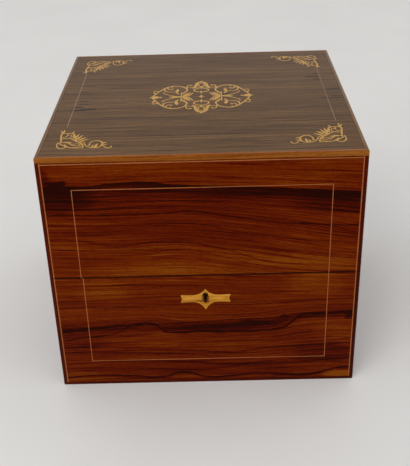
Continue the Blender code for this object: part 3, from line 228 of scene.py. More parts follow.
def place_of(finish, axis):
    """Where a point lies on the case along one axis."""
    point = step(finish, "ShaderNodeTexCoord", {}, "Object")
    return step(finish, "ShaderNodeSeparateXYZ", {0: point}, axis)


def ramp(finish, tone, stops):
    """Turns a tone into a colour by the stops of a stain board, from dark to light."""
    board = finish.node_tree.nodes.new("ShaderNodeValToRGB")
    finish.node_tree.links.new(tone, board.inputs[0])
    stain = board.color_ramp
    while len(stain.elements) < len(stops):
        stain.elements.new(1.0)
    for element, (share, colour) in zip(stain.elements, stops):
        element.position = share
        element.color = (*colour, 1.0)
    return board.outputs["Color"]


def threads(finish, grain, length, width, broken):
    """Noise drawn out along the grain into threads of about that length and width."""
    drawn = {0: grain, 1: (1 / length, 1 / width, 1 / width)}
    stretched = step(finish, "ShaderNodeVectorMath", drawn, operation="MULTIPLY")
    feeds = {"Vector": stretched, "Scale": 1, "Detail": broken, "Roughness": THREAD_BREAK_SHARE}
    return step(finish, "ShaderNodeTexNoise", feeds)


def grain_of(finish, axes, sway, lie=None):
    """A point's place in the plank, along its grain, across it and through it, with the fibres swaying."""
    along, across, through = (place_of(finish, axis) for axis in axes)
    if lie:
        across = sums(finish, "SUBTRACT", across, lie)
    level = step(finish, "ShaderNodeCombineXYZ", {0: along, 1: across, 2: through})
    bend = sums(finish, "SUBTRACT", threads(finish, level, *SWAY_THREAD), EVEN_SHARE)
    swayed = sums(finish, "MULTIPLY_ADD", bend, 2 * sway, across)
    return step(finish, "ShaderNodeCombineXYZ", {0: along, 1: swayed, 2: through})


def torn_level(finish, level, tear, share):
    """A level torn up and down by so large a share, so that what is drawn at it gets a ragged edge."""
    point = step(finish, "ShaderNodeTexCoord", {}, "Object")
    rise = sums(finish, "MULTIPLY_ADD", threads(finish, point, *tear), share, -share / 2)
    return sums(finish, "ADD", level, rise)


def drawn_curve(finish, value, points):
    """A value read off a curve drawn through points, which are shares both ways."""
    drawn = finish.node_tree.nodes.new("ShaderNodeFloatCurve")
    route = drawn.mapping.curves[0]
    route.points[0].location = points[0]
    route.points[-1].location = points[-1]
    for point in points[1:-1]:
        route.points.new(*point)
    drawn.mapping.update()
    finish.node_tree.links.new(value, drawn.inputs["Value"])
    return drawn.outputs[0]


def figure_line(finish, along, level, line):
    """How much one line of the figure lightens a point that lies so far along the board and up it."""
    points, above, below, weight = line
    drop = sums(finish, "SUBTRACT", drawn_curve(finish, along, points), level)
    under = spread(finish, drop, 0.0, below, 1.0, 0.0, "SMOOTHSTEP")
    over = spread(finish, drop, -above, 0.0, 0.0, 1.0, "SMOOTHSTEP")
    return sums(finish, "MULTIPLY", sums(finish, "MULTIPLY", under, over), -weight)


def figure_cloud(finish, along, level, cloud):
    """How much one light or dark place lightens a point."""
    middle, reach, weight = cloud
    aside = sums(finish, "MULTIPLY", sums(finish, "SUBTRACT", along, middle[0]), 1 / reach[0])
    above = sums(finish, "MULTIPLY", sums(finish, "SUBTRACT", level, middle[1]), 1 / reach[1])
    away = sums(finish, "MULTIPLY_ADD", aside, aside, sums(finish, "MULTIPLY", above, above))
    return spread(finish, away, 0.0, 1.0, -weight, 0.0, "SMOOTHSTEP")


def seam_painted_shade(finish):
    """How much the painted shade along the seam between base and lid darkens a point."""
    away = sums(finish, "ABSOLUTE", sums(finish, "SUBTRACT", place_of(finish, "Z"), seam_level))
    return spread(finish, away, SEAM_SHADE_NEAR, SEAM_SHADE_FAR, -SEAM_SHADE_SHARE, 0.0, "SMOOTHSTEP")


def side_figure(finish):
    """The other walls keep an even grain, and only the seam is darkened, by painted shade."""
    return None, seam_painted_shade(finish)


def front_figure(finish):
    """The lie of the front's grain, in metres, and how its lines, clouds and painted seam shade lighten the
    wood.
    """
    along = spread(finish, place_of(finish, "X"), packed_low[0], packed_high[0])
    level = spread(finish, place_of(finish, "Z"), packed_low[2], packed_high[2])
    lie = 0.0
    for rise, strength in FRONT_LIE_SHARES:
        lifted = sums(finish, "SUBTRACT", drawn_curve(finish, along, rise), EVEN_SHARE)
        strong = drawn_curve(finish, level, strength)
        lie = sums(finish, "MULTIPLY_ADD", lifted, strong, lie)
    lie = sums(finish, "MULTIPLY", lie, packed_high[2] - packed_low[2])
    torn = torn_level(finish, level, LINE_TEAR, LINE_TEAR_SHARE)
    # Painted shade darkens the wood along the seam between base and lid
    shade = seam_painted_shade(finish)
    for line in FRONT_LINE_SHARES:
        shade = sums(finish, "ADD", figure_line(finish, along, torn, line), shade)
    soft = torn_level(finish, level, CLOUD_TEAR, CLOUD_TEAR_SHARE)
    for cloud in FRONT_CLOUD_SHARES:
        shade = sums(finish, "ADD", figure_cloud(finish, along, soft, cloud), shade)
    return lie, shade


def wood(name, axes, stops, tone=EVEN_SHARE, band=0.9, thread=0.9, fibre=0.6, line=0.0, sway=GRAIN_SWAY,
         gloss=0.30, gleam=0.25, tint=POLISH_TINT, figure=None):
    """A french-polished wood. axes says which way its grain runs, and figure draws a board's strong lines."""
    finish, shader = new_finish(name)
    lie, drawn = figure(finish) if figure else (None, 0.0)
    grain = grain_of(finish, axes, sway, lie)
    bands = threads(finish, grain, *BAND_THREAD)
    fine = threads(finish, grain, *FINE_THREAD)
    hair = threads(finish, grain, *HAIR_THREAD)
    veins = threads(finish, grain, *VEIN_THREAD)
    pores = threads(finish, grain, *PORE_THREAD)
    shade = sums(finish, "MULTIPLY_ADD", bands, band, tone - (band + thread + fibre) / 2)
    shade = sums(finish, "MULTIPLY_ADD", fine, thread, shade)
    shade = sums(finish, "MULTIPLY_ADD", hair, fibre, shade)
    shade = sums(finish, "ADD", shade, drawn)
    shade = sums(finish, "ADD", shade, spread(finish, veins, *VEIN_SHARES, -line, 0.0))
    open_pores = spread(finish, pores, *PORE_SHARES)
    shade = sums(finish, "MULTIPLY_ADD", open_pores, -PORE_SHADE, shade)
    colour = ramp(finish, shade, stops)
    rough = sums(finish, "MULTIPLY_ADD", fine, DULLNESS_SPREAD, gloss - DULLNESS_SPREAD / 2)
    height = sums(finish, "MULTIPLY_ADD", open_pores, -PORE_DEPTH_SHARE, hair)
    relief = {"Strength": GRAIN_STRENGTH, "Distance": GRAIN_RELIEF, "Height": height}
    bump = step(finish, "ShaderNodeBump", relief, "Normal")
    feed(finish, shader, {"Base Color": colour, "Roughness": rough, "Normal": bump})
    shader.inputs["Specular IOR Level"].default_value = gleam
    shader.inputs["Specular Tint"].default_value = (*tint, 1.0)
    return finish


# How a board lies: the axis along its grain, the one across it and the one through its thickness
LEVEL_FRONT = ("X", "Z", "Y")
LEVEL_SIDE = ("Y", "Z", "X")
LEVEL_TOP = ("X", "Y", "Z")
UPRIGHT = ("Z", "X", "Y")

# Which way a wall faces: the number of its axis, 0 for X and 1 for Y, and whether it looks down or up it
FRONT, BACK, LEFT, RIGHT = (1, -1), (1, 1), (0, -1), (0, 1)

front_rosewood = wood("front_rosewood", LEVEL_FRONT, ROSEWOOD_STOPS, tone=0.62, band=0.45, thread=0.7,
                      fibre=1.2, line=0.35, sway=FRONT_SWAY, gleam=0.12, tint=SHELLAC_TINT,
                      figure=front_figure)
side_rosewood = wood("side_rosewood", LEVEL_SIDE, ROSEWOOD_STOPS, tone=0.52, band=1.4, line=0.4,
                     tint=SHELLAC_TINT, figure=side_figure)
front_mahogany = wood("front_mahogany", LEVEL_FRONT, MAHOGANY_STOPS, band=0.6, gloss=0.45)
side_mahogany = wood("side_mahogany", LEVEL_SIDE, MAHOGANY_STOPS, band=0.6, gloss=0.45)
stringing = wood("boxwood_stringing", LEVEL_FRONT, STRINGING_STOPS, band=0.4, thread=0.4,
                 tint=SHELLAC_TINT)


def board_of(name):
    """A copy of a board as it was cut, with its flat faces made whole again."""
    bm = bmesh.new()
    bm.from_mesh(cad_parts[name].data)
    bmesh.ops.remove_doubles(bm, verts=bm.verts, dist=WELD)
    bmesh.ops.dissolve_limit(bm, angle_limit=FLAT, verts=bm.verts, edges=bm.edges)
    return bm


def score(bm, axis, places):
    """Scores a board straight through at places along an axis, without taking anything away."""
    normal = Vector((0, 0, 0))
    normal[axis] = 1
    for place in places:
        whole = bm.verts[:] + bm.edges[:] + bm.faces[:]
        bmesh.ops.bisect_plane(bm, geom=whole, dist=WELD, plane_co=normal * place, plane_no=normal)


def fit(name, bm, body, finishes, stands_for=(), arris=None):
    """Makes a piece of a mesh, finishes it and fixes it to a body. Edges sharper than arris stay crisp."""
    mesh = bpy.data.meshes.new(name)
    bm.to_mesh(mesh)
    bm.free()
    if arris:
        mesh.shade_smooth()
        mesh.set_sharp_from_angle(angle=arris)
    for finish in finishes:
        mesh.materials.append(finish)
    made = bpy.data.objects.new(name, mesh)
    bpy.context.scene.collection.objects.link(made)
    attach(made, body)
    if stands_for:
        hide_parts(*stands_for)


def near_edge(value, low, high, breadth):
    """Whether a place lies within a breadth of either edge."""
    return value < low + breadth or value > high - breadth


def inner_line_sides(body):
    """The outer sides of the upright lines, which step in a little on the base's left."""
    shift = BASE_LINE_SHIFT if body == "base" else 0
    return packed_low[0] + INNER_LINE_SIDE + shift, packed_high[0] - INNER_LINE_SIDE


def on_inner_line(x, z, body):
    """Whether a place on the front lies on the line that frames it."""
    left, right = inner_line_sides(body)
    foot, head = packed_low[2] + INNER_LINE_FOOT, packed_high[2] - INNER_LINE_HEAD
    inside = left < x < right and foot < z < head
    return inside and (near_edge(x, left, right, INNER_LINE) or near_edge(z, foot, head, INNER_LINE))


def lengthen_points(bm):
    """Draws out the escutcheon's upper and lower points, on the plate itself or on its bed in the front."""
    plate_low, plate_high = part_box("escutcheon")
    for vert in bm.verts:
        aside = abs(vert.co.x)
        rise = vert.co.z - (plate_low[2] + plate_high[2]) / 2
        near = aside < ESCUTCHEON_FLANK and abs(rise) < ESCUTCHEON_REACH
        outside = vert.co.y < plate_high[1] + ESCUTCHEON_BED_PLAY
        keyhole = aside < KEYHOLE_REACH and abs(rise) < KEYHOLE_RISE
        if not near or not outside or keyhole:
            continue
        if rise > ESCUTCHEON_ARM:
            vert.co.z += (rise - ESCUTCHEON_ARM) * HEAD_POINT_SHARE
        elif rise < -ESCUTCHEON_ARM:
            vert.co.z += (rise + ESCUTCHEON_ARM) * FOOT_POINT_SHARE


def veneer_wall(name, body, facing, outside, plain, lines=True):
    """Veneers one wall outside, and lets the light lines into the veneer."""
    low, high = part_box(name)
    out, side = facing
    across = 1 - out
    bm = board_of(name)
    if name == "base_front":
        lengthen_points(bm)
    face = high[out] if side > 0 else low[out]
    arrises = (low[across] + OUTER_LINE, high[across] - OUTER_LINE)
    under_strip = high[2] - HEAD_LINE_GAP
    ends = (low[2] + OUTER_LINE,) if body == "base" else (under_strip - OUTER_LINE, under_strip)
    if lines:
        score(bm, across, arrises)
        score(bm, 2, ends)
    if facing == FRONT and lines:
        left, right = inner_line_sides(body)
        foot, head = packed_low[2] + INNER_LINE_FOOT, packed_high[2] - INNER_LINE_HEAD
        score(bm, 0, (left, left + INNER_LINE, right - INNER_LINE, right))
        level = (foot, foot + INNER_LINE) if body == "base" else (head - INNER_LINE, head)
        score(bm, 2, level)
    for polygon in bm.faces:
        middle = polygon.calc_center_median()
        if abs(middle[out] - face) > VENEER_DEPTH:
            continue
        polygon.material_index = VENEERED
        if not lines:
            continue
        edge = near_edge(middle[across], low[across], high[across], OUTER_LINE)
        end = middle[2] < ends[0] if body == "base" else ends[0] < middle[2] < ends[1]
        if edge or end or (facing == FRONT and on_inner_line(middle[0], middle[2], body)):
            polygon.material_index = LINED
    fit(f"{name}_veneered", bm, body, (plain, outside, stringing), (name,))


for half in ("base", "lid"):
    veneer_wall(f"{half}_front", half, FRONT, front_rosewood, front_mahogany)
    veneer_wall(f"{half}_left", half, LEFT, side_rosewood, side_mahogany)
    veneer_wall(f"{half}_right", half, RIGHT, side_rosewood, side_mahogany)

# The back walls are veneered plainly, with no lines, and their rims are bevelled for the lid to lean on.
# The bottom board is bare mahogany, let in between the walls.
back_rosewood = wood("back_rosewood", LEVEL_FRONT, ROSEWOOD_STOPS, tone=0.48, band=1.2, line=0.4,
                     tint=SHELLAC_TINT, figure=side_figure)
bottom_mahogany = wood("bottom_mahogany", LEVEL_TOP, MAHOGANY_STOPS, band=0.6, gloss=0.5)


def refinish(name, finish):
    """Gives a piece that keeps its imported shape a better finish."""
    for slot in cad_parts[name].material_slots:
        slot.material = finish


for half in ("base", "lid"):
    veneer_wall(f"{half}_back", half, BACK, back_rosewood, front_mahogany, lines=False)
refinish("base_bottom", bottom_mahogany)

# The edging is strips of rosewood, dark in the corners and at the foot and golden round the top, where the
# lid's front and back strips carry a painted highlight for the light that their rounded arrises catch. They
# are glued into rebates along the arrises, mitred where they meet round the top and the foot, and rounded
# over.
STRIP = 0.0035
TOP_STRIP = 0.0050
FOOT_STRIP = 0.0030
ARRIS_ROUND = 0.0012
ARRIS_STEPS = 5
ROUND_PROFILE_SHARE = 0.5
EDGING_ARRIS = math.radians(25)
STRIP_JOINT = 0.00005
STOP_BEVEL = math.radians(48.5)
HINGE_LINE_Y = 0.1453
SIDES = (("left", -1), ("right", 1))
ENDS = (("front", -1), ("back", 1))
# Golden stops for the lid's front and back strips, lighter than the other strips: a painted highlight
HEAD_HIGHLIGHT_STOPS = ((0.0, (0.040, 0.0050, 0.0012)), (0.35, (0.140, 0.0290, 0.0040)),
                (0.65, (0.235, 0.0720, 0.0090)), (1.0, (0.380, 0.1600, 0.0280)))
SIDE_EDGING_STOPS = ((0.0, (0.040, 0.0120, 0.0030)), (0.5, (0.130, 0.0540, 0.0150)),
                     (1.0, (0.280, 0.1500, 0.0500)))

upright_rosewood = wood("upright_edging", UPRIGHT, ROSEWOOD_STOPS, tone=0.30, band=0.4, thread=0.5,
                        tint=SHELLAC_TINT)
# Painted highlight: the lid's front and back strips get a lighter tone than the posts and the foot
head_highlight_rosewood = wood("front_edging_painted_highlight", LEVEL_FRONT, HEAD_HIGHLIGHT_STOPS, tone=0.62, band=0.4, gloss=0.28,
                     gleam=0.18, tint=SHELLAC_TINT)
foot_rosewood = wood("foot_edging", LEVEL_FRONT, ROSEWOOD_STOPS, tone=0.30, band=0.4, tint=SHELLAC_TINT)
side_strip_rosewood = wood("side_edging", LEVEL_SIDE, SIDE_EDGING_STOPS, tone=0.55, band=0.4, gloss=0.34,
                           gleam=0.2)


def add_block(bm, low, high):
    """A plain block between two corners."""
    size = [b - a for a, b in zip(low, high)]
    middle = [(a + b) / 2 for a, b in zip(low, high)]
    bmesh.ops.create_cube(bm, size=1, matrix=Matrix.Translation(middle) @ Matrix.Diagonal((*size, 1)))


def rounded_block(low, high, round_top):
    """A block with its upright arrises rounded over, and with round_top its top ones too."""
    bm = bmesh.new()
    add_block(bm, low, high)
    outer = []
    for edge in bm.edges:
        one, two = (point.co for point in edge.verts)
        upright = abs(one.z - two.z) > WELD
        on_top = min(one.z, two.z) > high[2] - WELD
        if upright or (on_top and round_top):
            outer.append(edge)
    bmesh.ops.bevel(bm, geom=outer, offset=ARRIS_ROUND, segments=ARRIS_STEPS, profile=ROUND_PROFILE_SHARE,
                    affect="EDGES")
    return bm


def saw(bm, point, normal):
    """Saws a closed block along a plane, drops the side that the normal points to, and closes the cut."""
    whole = bm.verts[:] + bm.edges[:] + bm.faces[:]
    cut = bmesh.ops.bisect_plane(bm, geom=whole, dist=WELD, plane_co=point, plane_no=normal,
                                 clear_outer=True)
    rim = [edge for edge in cut["geom_cut"] if isinstance(edge, bmesh.types.BMEdge)]
    bmesh.ops.holes_fill(bm, edges=rim)


def strip(name, body, block, cuts, finish):
    """One strip of the edging, sawn out of a rounded block as large as the base or the lid."""
    bm = rounded_block(*block)
    for point, normal in cuts:
        saw(bm, point, normal)
    fit(name, bm, body, (finish,), (f"{body}_edging",), EDGING_ARRIS)


wide, deep, tall = packed_high
rim_of = {"base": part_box("base_edging")[1][2], "lid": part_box("lid_edging")[0][2]}
blocks = {
    "base": ((-wide, -deep, 0), (wide, deep, rim_of["base"]), False),
    "lid": ((-wide, -deep, rim_of["lid"]), (wide, deep, tall), True),
}
frame_level = {"base": FOOT_STRIP, "lid": tall - TOP_STRIP}
frame_wood = {"base": foot_rosewood, "lid": head_highlight_rosewood}
rim_side = {"base": 1, "lid": -1}
for half in ("base", "lid"):
    level = frame_level[half]
    up = rim_side[half]
    lean = ((0, HINGE_LINE_Y, rim_of[half]), (0, math.sin(STOP_BEVEL), up * math.cos(STOP_BEVEL)))
    beside = {sx: ((sx * (wide - STRIP), 0, 0), (-sx, 0, 0)) for _, sx in SIDES}
    before = {sy: ((0, sy * (deep - STRIP), 0), (0, -sy, 0)) for _, sy in ENDS}
    beyond = ((0, 0, level - up * STRIP_JOINT), (0, 0, up))
    for side, sx in SIDES:
        for end, sy in ENDS:
            cuts = [beside[sx], before[sy], ((0, 0, level + up * STRIP_JOINT), (0, 0, -up))]
            if end == "back":
                cuts.append(lean)
            strip(f"{half}_post_{end}_{side}", half, blocks[half], cuts, upright_rosewood)
    for side, sx in SIDES:
        cuts = [beside[sx], beyond]
        for sy in (-1, 1):
            cuts.append(((sx * (wide - STRIP_JOINT), sy * deep, 0), (-sx, sy, 0)))
        strip(f"{half}_strip_{side}", half, blocks[half], cuts, side_strip_rosewood)
    for end, sy in ENDS:
        cuts = [before[sy], beyond]
        for sx in (-1, 1):
            cuts.append(((sx * wide, sy * (deep - STRIP_JOINT), 0), (sx, -sy, 0)))
        strip(f"{half}_strip_{end}", half, blocks[half], cuts, frame_wood[half])

# The top board is mahogany, veneered with faded rosewood. Its marquetry is a scrolled medallion and a spray
# of leaves in each corner, fretted from boxwood and let in flush, with a fine line from spray to spray.
VENEER = 0.0009
MEDALLION_HALF_WIDTH = 0.0545
SPRAY_LENGTH = 0.0505
SPRAY_INSET_X = 0.0168
SPRAY_INSET_Y = 0.0215
TOP_LINE = 0.0006
TOP_LINE_INSET_X = 0.0200
TOP_LINE_REACH = 0.0760
TOP_LINE_BACK = 0.0800
CURVE_STEPS = 5
LEAF_STEPS = 8
DOT_STEPS = 14
TAPER_SHARE = 0.50
LEAF_SWELL_SHARE = 0.75
MEDALLION_FULLNESS_SHARE = 1.15
SPRAY_FULLNESS_SHARE = 0.85

TOP_TINT = (1.0, 0.76, 0.50)
TOP_STOPS = ((0.0, (0.009, 0.0035, 0.0014)), (0.3, (0.048, 0.0210, 0.0072)), (0.6, (0.104, 0.0490, 0.0160)),
             (1.0, (0.205, 0.1100, 0.0420)))
MARQUETRY_STOPS = ((0.0, (0.24, 0.105, 0.012)), (0.5, (0.50, 0.260, 0.045)), (1.0, (0.70, 0.430, 0.110)))
TOP_LINE_STOPS = ((0.0, (0.16, 0.090, 0.060)), (0.5, (0.30, 0.180, 0.110)), (1.0, (0.42, 0.270, 0.170)))
CRACK_TEAR = (0.009, 0.004, 2.0)
CRACK_TEAR_SHARE = 0.010
CRACK_CORE_SHARE = 0.0018
CRACK_EDGE_SHARE = 0.0062
CRACK_TIP_SHARE = 0.5
TOP_SWAY = 0.002

# The shrinkage cracks in the top's veneer: where they start and end along its width, their level on its
# depth, and how dark they are
TOP_CRACK_SHARES = (
    ((0.055, 0.125), 0.634, 0.3), ((0.055, 0.103), 0.571, 0.5), ((0.066, 0.115), 0.548, 0.34),
    ((0.076, 0.114), 0.478, 0.5), ((0.072, 0.12), 0.448, 0.5), ((0.056, 0.101), 0.421, 0.6),
    ((0.088, 0.15), 0.399, 0.7), ((0.056, 0.112), 0.392, 0.75), ((0.875, 0.935), 0.679, 0.8),
    ((0.903, 0.932), 0.654, 0.5), ((0.91, 0.933), 0.712, 0.55), ((0.945, 0.995), 0.473, 0.6),
    ((0.9, 0.995), 0.456, 0.45), ((0.925, 0.995), 0.496, 0.3), ((0.93, 0.99), 0.54, 0.3),
)

# One quarter of the medallion, from its middle out to +X and +Y, in shares of its half width: strokes as
# (route, thickness), leaves as (root, tip, breadth) and dots as (middle, radius)
MEDALLION_STROKE_SHARES = (
    (((0.95, 0), (0.9, 0.13), (0.84, 0.26), (0.79, 0.36), (0.735, 0.455), (0.68, 0.53), (0.618, 0.583),
      (0.55, 0.612), (0.473, 0.607), (0.4, 0.58), (0.342, 0.532), (0.3, 0.47), (0.278, 0.4), (0.276, 0.33),
      (0.294, 0.266), (0.335, 0.205), (0.4, 0.165)), 0.03),
    (((0.385, -0.02), (0.385, 0.14), (0.388, 0.26)), 0.02),
    (((0.7, 0.5), (0.715, 0.42), (0.7, 0.34), (0.655, 0.29), (0.56, 0.275), (0.48, 0.285)), 0.022),
    (((0.645, 0.57), (0.66, 0.5), (0.64, 0.44), (0.595, 0.415), (0.565, 0.43)), 0.022),
    (((0.385, 0.02), (0.48, 0.03), (0.56, 0.07), (0.64, 0.12), (0.7, 0.17), (0.735, 0.23), (0.72, 0.275)),
      0.02),
    (((0.295, 0.455), (0.285, 0.52), (0.283, 0.58), (0.262, 0.632), (0.222, 0.65), (0.19, 0.625)), 0.024),
    (((-0.02, 0.515), (0.08, 0.52), (0.18, 0.52), (0.295, 0.49)), 0.022),
    (((0.15, 0.485), (0.12, 0.555), (0.104, 0.65), (0.088, 0.73), (0.048, 0.795), (-0.01, 0.83)), 0.056),
    (((-0.02, 0.555), (0.04, 0.575), (0.056, 0.64), (0.04, 0.71), (-0.02, 0.745)), 0.022),
    (((-0.02, 0.462), (0.055, 0.452), (0.112, 0.415), (0.14, 0.36), (0.135, 0.305), (0.1, 0.262),
      (0.062, 0.262)), 0.026),
    (((-0.02, 0.25), (0.03, 0.245), (0.066, 0.262)), 0.018),
    (((0.16, 0.22), (0.2, 0.12), (0.24, 0.05), (0.31, 0)), 0.03),
    (((0.32, 0), (0.42, 0), (0.5, 0)), 0.026),
    (((0.8, 0.34), (0.86, 0.33), (0.905, 0.35), (0.93, 0.32)), 0.022),
)
MEDALLION_LEAF_SHARES = (
    ((0.475, 0.265), (0.455, 0.44), 0.06), ((0.5, 0.285), (0.43, 0.135), 0.04),
    ((0.4, 0.015), (0.63, 0.03), 0.04), ((0.36, 0), (0.2, 0.24), 0.075),
    ((0.35, -0.01), (0.27, 0.17), 0.05), ((0.38, 0.12), (0.3, 0.33), 0.026), ((0.8, 0), (1, 0), 0.11),
    ((0.86, -0.04), (0.93, 0.1), 0.06), ((0.88, 0.17), (0.935, 0.3), 0.036), ((0, 0.17), (0, 0.33), 0.04),
    ((0, 0), (0, 0.1), 0.03), ((0, 0), (0.07, 0), 0.03), ((0, 0.47), (0, 0.575), 0.06),
    ((0, 0.78), (0, 0.885), 0.07), ((0.115, 0.5), (0.185, 0.455), 0.036),
    ((0.66, 0.29), (0.74, 0.38), 0.026), ((0.55, 0.61), (0.6, 0.53), 0.028),
)
MEDALLION_DOT_SHARES = (
    ((0, 0), 0.032), ((0.118, 0.52), 0.03), ((0.075, 0.268), 0.026), ((0.2, 0.628), 0.026),
    ((0.565, 0.435), 0.024), ((0.78, 0), 0.03),
)

# One corner spray, with its outer corner at (0, 0) and its arms along +X and +Y, in shares of its longer arm
SPRAY_STROKE_SHARES = (
    (((0.06, 0.23), (0.05, 0.36), (0.03, 0.5), (0.02, 0.65), (0.05, 0.76), (0.04, 0.87)), 0.04),
    (((0.01, 0.7), (0.12, 0.7), (0.21, 0.69), (0.27, 0.6), (0.3, 0.47), (0.33, 0.36), (0.39, 0.27)), 0.036),
    (((0.04, 0.44), (0.1, 0.45), (0.18, 0.46), (0.25, 0.42), (0.32, 0.33), (0.4, 0.26), (0.46, 0.17),
      (0.49, 0.07), (0.49, 0)), 0.038),
    (((0.06, 0.28), (0.18, 0.25), (0.24, 0.19), (0.28, 0.14), (0.36, 0.12), (0.48, 0.13)), 0.03),
    (((0.01, 0.26), (0.08, 0.17), (0.18, 0.08), (0.28, 0.02), (0.5, 0.01)), 0.034),
    (((0.01, 0.28), (0, 0.17), (0.02, 0.06), (0.09, -0.01), (0.16, 0.02), (0.19, 0.08)), 0.03),
    (((0.49, 0.25), (0.52, 0.14), (0.58, 0.05), (0.68, 0), (0.78, 0.02), (0.83, 0.11), (0.83, 0.21),
      (0.78, 0.29), (0.72, 0.32), (0.65, 0.3), (0.6, 0.22), (0.6, 0.12)), 0.036),
    (((0.8, 0.14), (0.86, 0.07), (0.92, -0.01), (0.98, -0.02), (1.01, 0.03), (1, 0.07)), 0.03),
    (((0.38, 0.27), (0.44, 0.28), (0.49, 0.24)), 0.03),
    (((0.12, 0.7), (0.14, 0.61), (0.11, 0.53), (0.05, 0.5)), 0.024),
    (((0.18, 0.46), (0.22, 0.54), (0.2, 0.61), (0.15, 0.62)), 0.022),
    (((0.28, 0.14), (0.33, 0.2), (0.39, 0.2), (0.42, 0.16)), 0.022),
    (((0.49, 0.05), (0.42, 0.06), (0.36, 0.03), (0.3, 0.03)), 0.02),
)
SPRAY_LEAF_SHARES = (
    ((0.05, 0.71), (-0.03, 0.83), 0.044), ((0.21, 0.68), (0.25, 0.8), 0.04),
    ((0.27, 0.44), (0.26, 0.69), 0.054), ((0.3, 0.4), (0.35, 0.67), 0.054),
    ((0.33, 0.37), (0.43, 0.61), 0.054), ((0.36, 0.34), (0.51, 0.52), 0.054),
    ((0.39, 0.3), (0.57, 0.41), 0.052), ((0.09, 0.27), (0.25, 0.28), 0.06), ((0.71, 0), (0.74, 0.19), 0.07),
    ((0.66, 0.01), (0.67, 0.14), 0.044), ((0.83, 0.23), (0.92, 0.21), 0.044),
    ((0.83, 0.12), (0.94, 0.12), 0.04), ((0.18, 0.08), (0.13, 0.19), 0.04),
    ((0.2, 0.24), (0.3, 0.25), 0.04),
)
SPRAY_DOT_SHARES = (
    ((0.18, 0.08), 0.03), ((0.6, 0.12), 0.026), ((0.15, 0.62), 0.022), ((0.42, 0.17), 0.022),
)


def smooth_route(points):
    """More points along a route, on the even curve that runs through the ones given."""
    ends = [2 * points[0] - points[1]] + points + [2 * points[-1] - points[-2]]
    route = []
    for before, start, end, after in zip(ends, ends[1:], ends[2:], ends[3:]):
        bend = 2 * before - 5 * start + 4 * end - after
        twist = 3 * start - before - 3 * end + after
        for i in range(CURVE_STEPS):
            t = i / CURVE_STEPS
            route.append(0.5 * (2 * start + (end - before) * t + bend * t ** 2 + twist * t ** 3))
    return route + [points[-1]]


def fretted_stroke(points, thickness):
    """A scroll's outline, quarter by quarter along it, full in the middle and finer at both ends."""
    route = smooth_route([Vector(point) for point in points])
    sides = []
    for i, point in enumerate(route):
        ahead = route[min(i + 1, len(route) - 1)] - route[max(i - 1, 0)]
        across = Vector((-ahead.y, ahead.x)).normalized()
        swell = TAPER_SHARE + (1 - TAPER_SHARE) * math.sqrt(math.sin(math.pi * i / (len(route) - 1)))
        half = across * thickness * swell / 2
        sides.append((point - half, point + half))
    return [(a[0], b[0], b[1], a[1]) for a, b in zip(sides, sides[1:])]


def fretted_leaf(root, tip, breadth):
    """A pointed leaf, fullest a little nearer its root than its tip."""
    start, end = Vector(root), Vector(tip)
    across = Vector((start.y - end.y, end.x - start.x)).normalized() * breadth / 2
    edge = []
    for i in range(1, LEAF_STEPS):
        t = i / LEAF_STEPS
        edge.append((t, math.sin(math.pi * t ** LEAF_SWELL_SHARE)))
    up = [start.lerp(end, t) + across * swell for t, swell in edge]
    down = [start.lerp(end, t) - across * swell for t, swell in reversed(edge)]
    return [start, *up, end, *down]


def fretted_dot(middle, radius):
    """A round dot's outline."""
    turns = [2 * math.pi * i / DOT_STEPS for i in range(DOT_STEPS)]
    return [Vector(middle) + radius * Vector((math.cos(turn), math.sin(turn))) for turn in turns]


def motif(strokes, leaves, dots, fullness):
    """All the outlines of one motif, in shares of its size."""
    outlines = []
    for points, thickness in strokes:
        outlines += fretted_stroke(points, thickness * fullness)
    outlines += [fretted_leaf(root, tip, breadth * fullness) for root, tip, breadth in leaves]
    outlines += [fretted_dot(*dot) for dot in dots]
    return outlines


def laid_out(outlines, size, flip_x, flip_y, corner):
    """A motif at full size on the top, turned over where it is mirrored, each part a convex outline."""
    across, back = flip_x * size, flip_y * size
    placed = []
    for outline in outlines:
        points = [Vector((corner[0] + across * point.x, corner[1] + back * point.y)) for point in outline]
        placed.append([points[index] for index in convex_hull_2d(points)])
    return placed


def rectangle(low_x, low_y, high_x, high_y):
    """An oblong between two corners."""
    corners = ((low_x, low_y), (high_x, low_y), (high_x, high_y), (low_x, high_y))
    return [Vector(corner) for corner in corners]


board_low, board_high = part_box("lid_top")
quarter = motif(MEDALLION_STROKE_SHARES, MEDALLION_LEAF_SHARES, MEDALLION_DOT_SHARES,
                MEDALLION_FULLNESS_SHARE)
spray = motif(SPRAY_STROKE_SHARES, SPRAY_LEAF_SHARES, SPRAY_DOT_SHARES, SPRAY_FULLNESS_SHARE)
inlays = {"medallion": []}
for sx in (-1, 1):
    for sy in (-1, 1):
        inlays["medallion"] += laid_out(quarter, MEDALLION_HALF_WIDTH, sx, sy, (0, 0))
for side, sx in SIDES:
    for end, sy in ENDS:
        corner = (sx * (wide - SPRAY_INSET_X), sy * (deep - SPRAY_INSET_Y))
        inlays[f"corner_spray_{end}_{side}"] = laid_out(spray, SPRAY_LENGTH, -sx, -sy, corner)
line_x = wide - TOP_LINE_INSET_X
inlays["top_lines"] = [
    rectangle(-line_x, -TOP_LINE_REACH, -line_x + TOP_LINE, TOP_LINE_BACK),
    rectangle(line_x - TOP_LINE, -TOP_LINE_REACH, line_x, TOP_LINE_BACK),
]


def divided(outlines):
    """A plane divided along outlines: its points, its parts, and in which outlines every part lies."""
    points = []
    faces = []
    for outline in outlines:
        faces.append(list(range(len(points), len(points) + len(outline))))
        points += [Vector((point[0], point[1])) for point in outline]
    made, _, parts, _, _, sources = delaunay_2d_cdt(points, [], faces, 0, WELD)
    return made, zip(parts, sources)


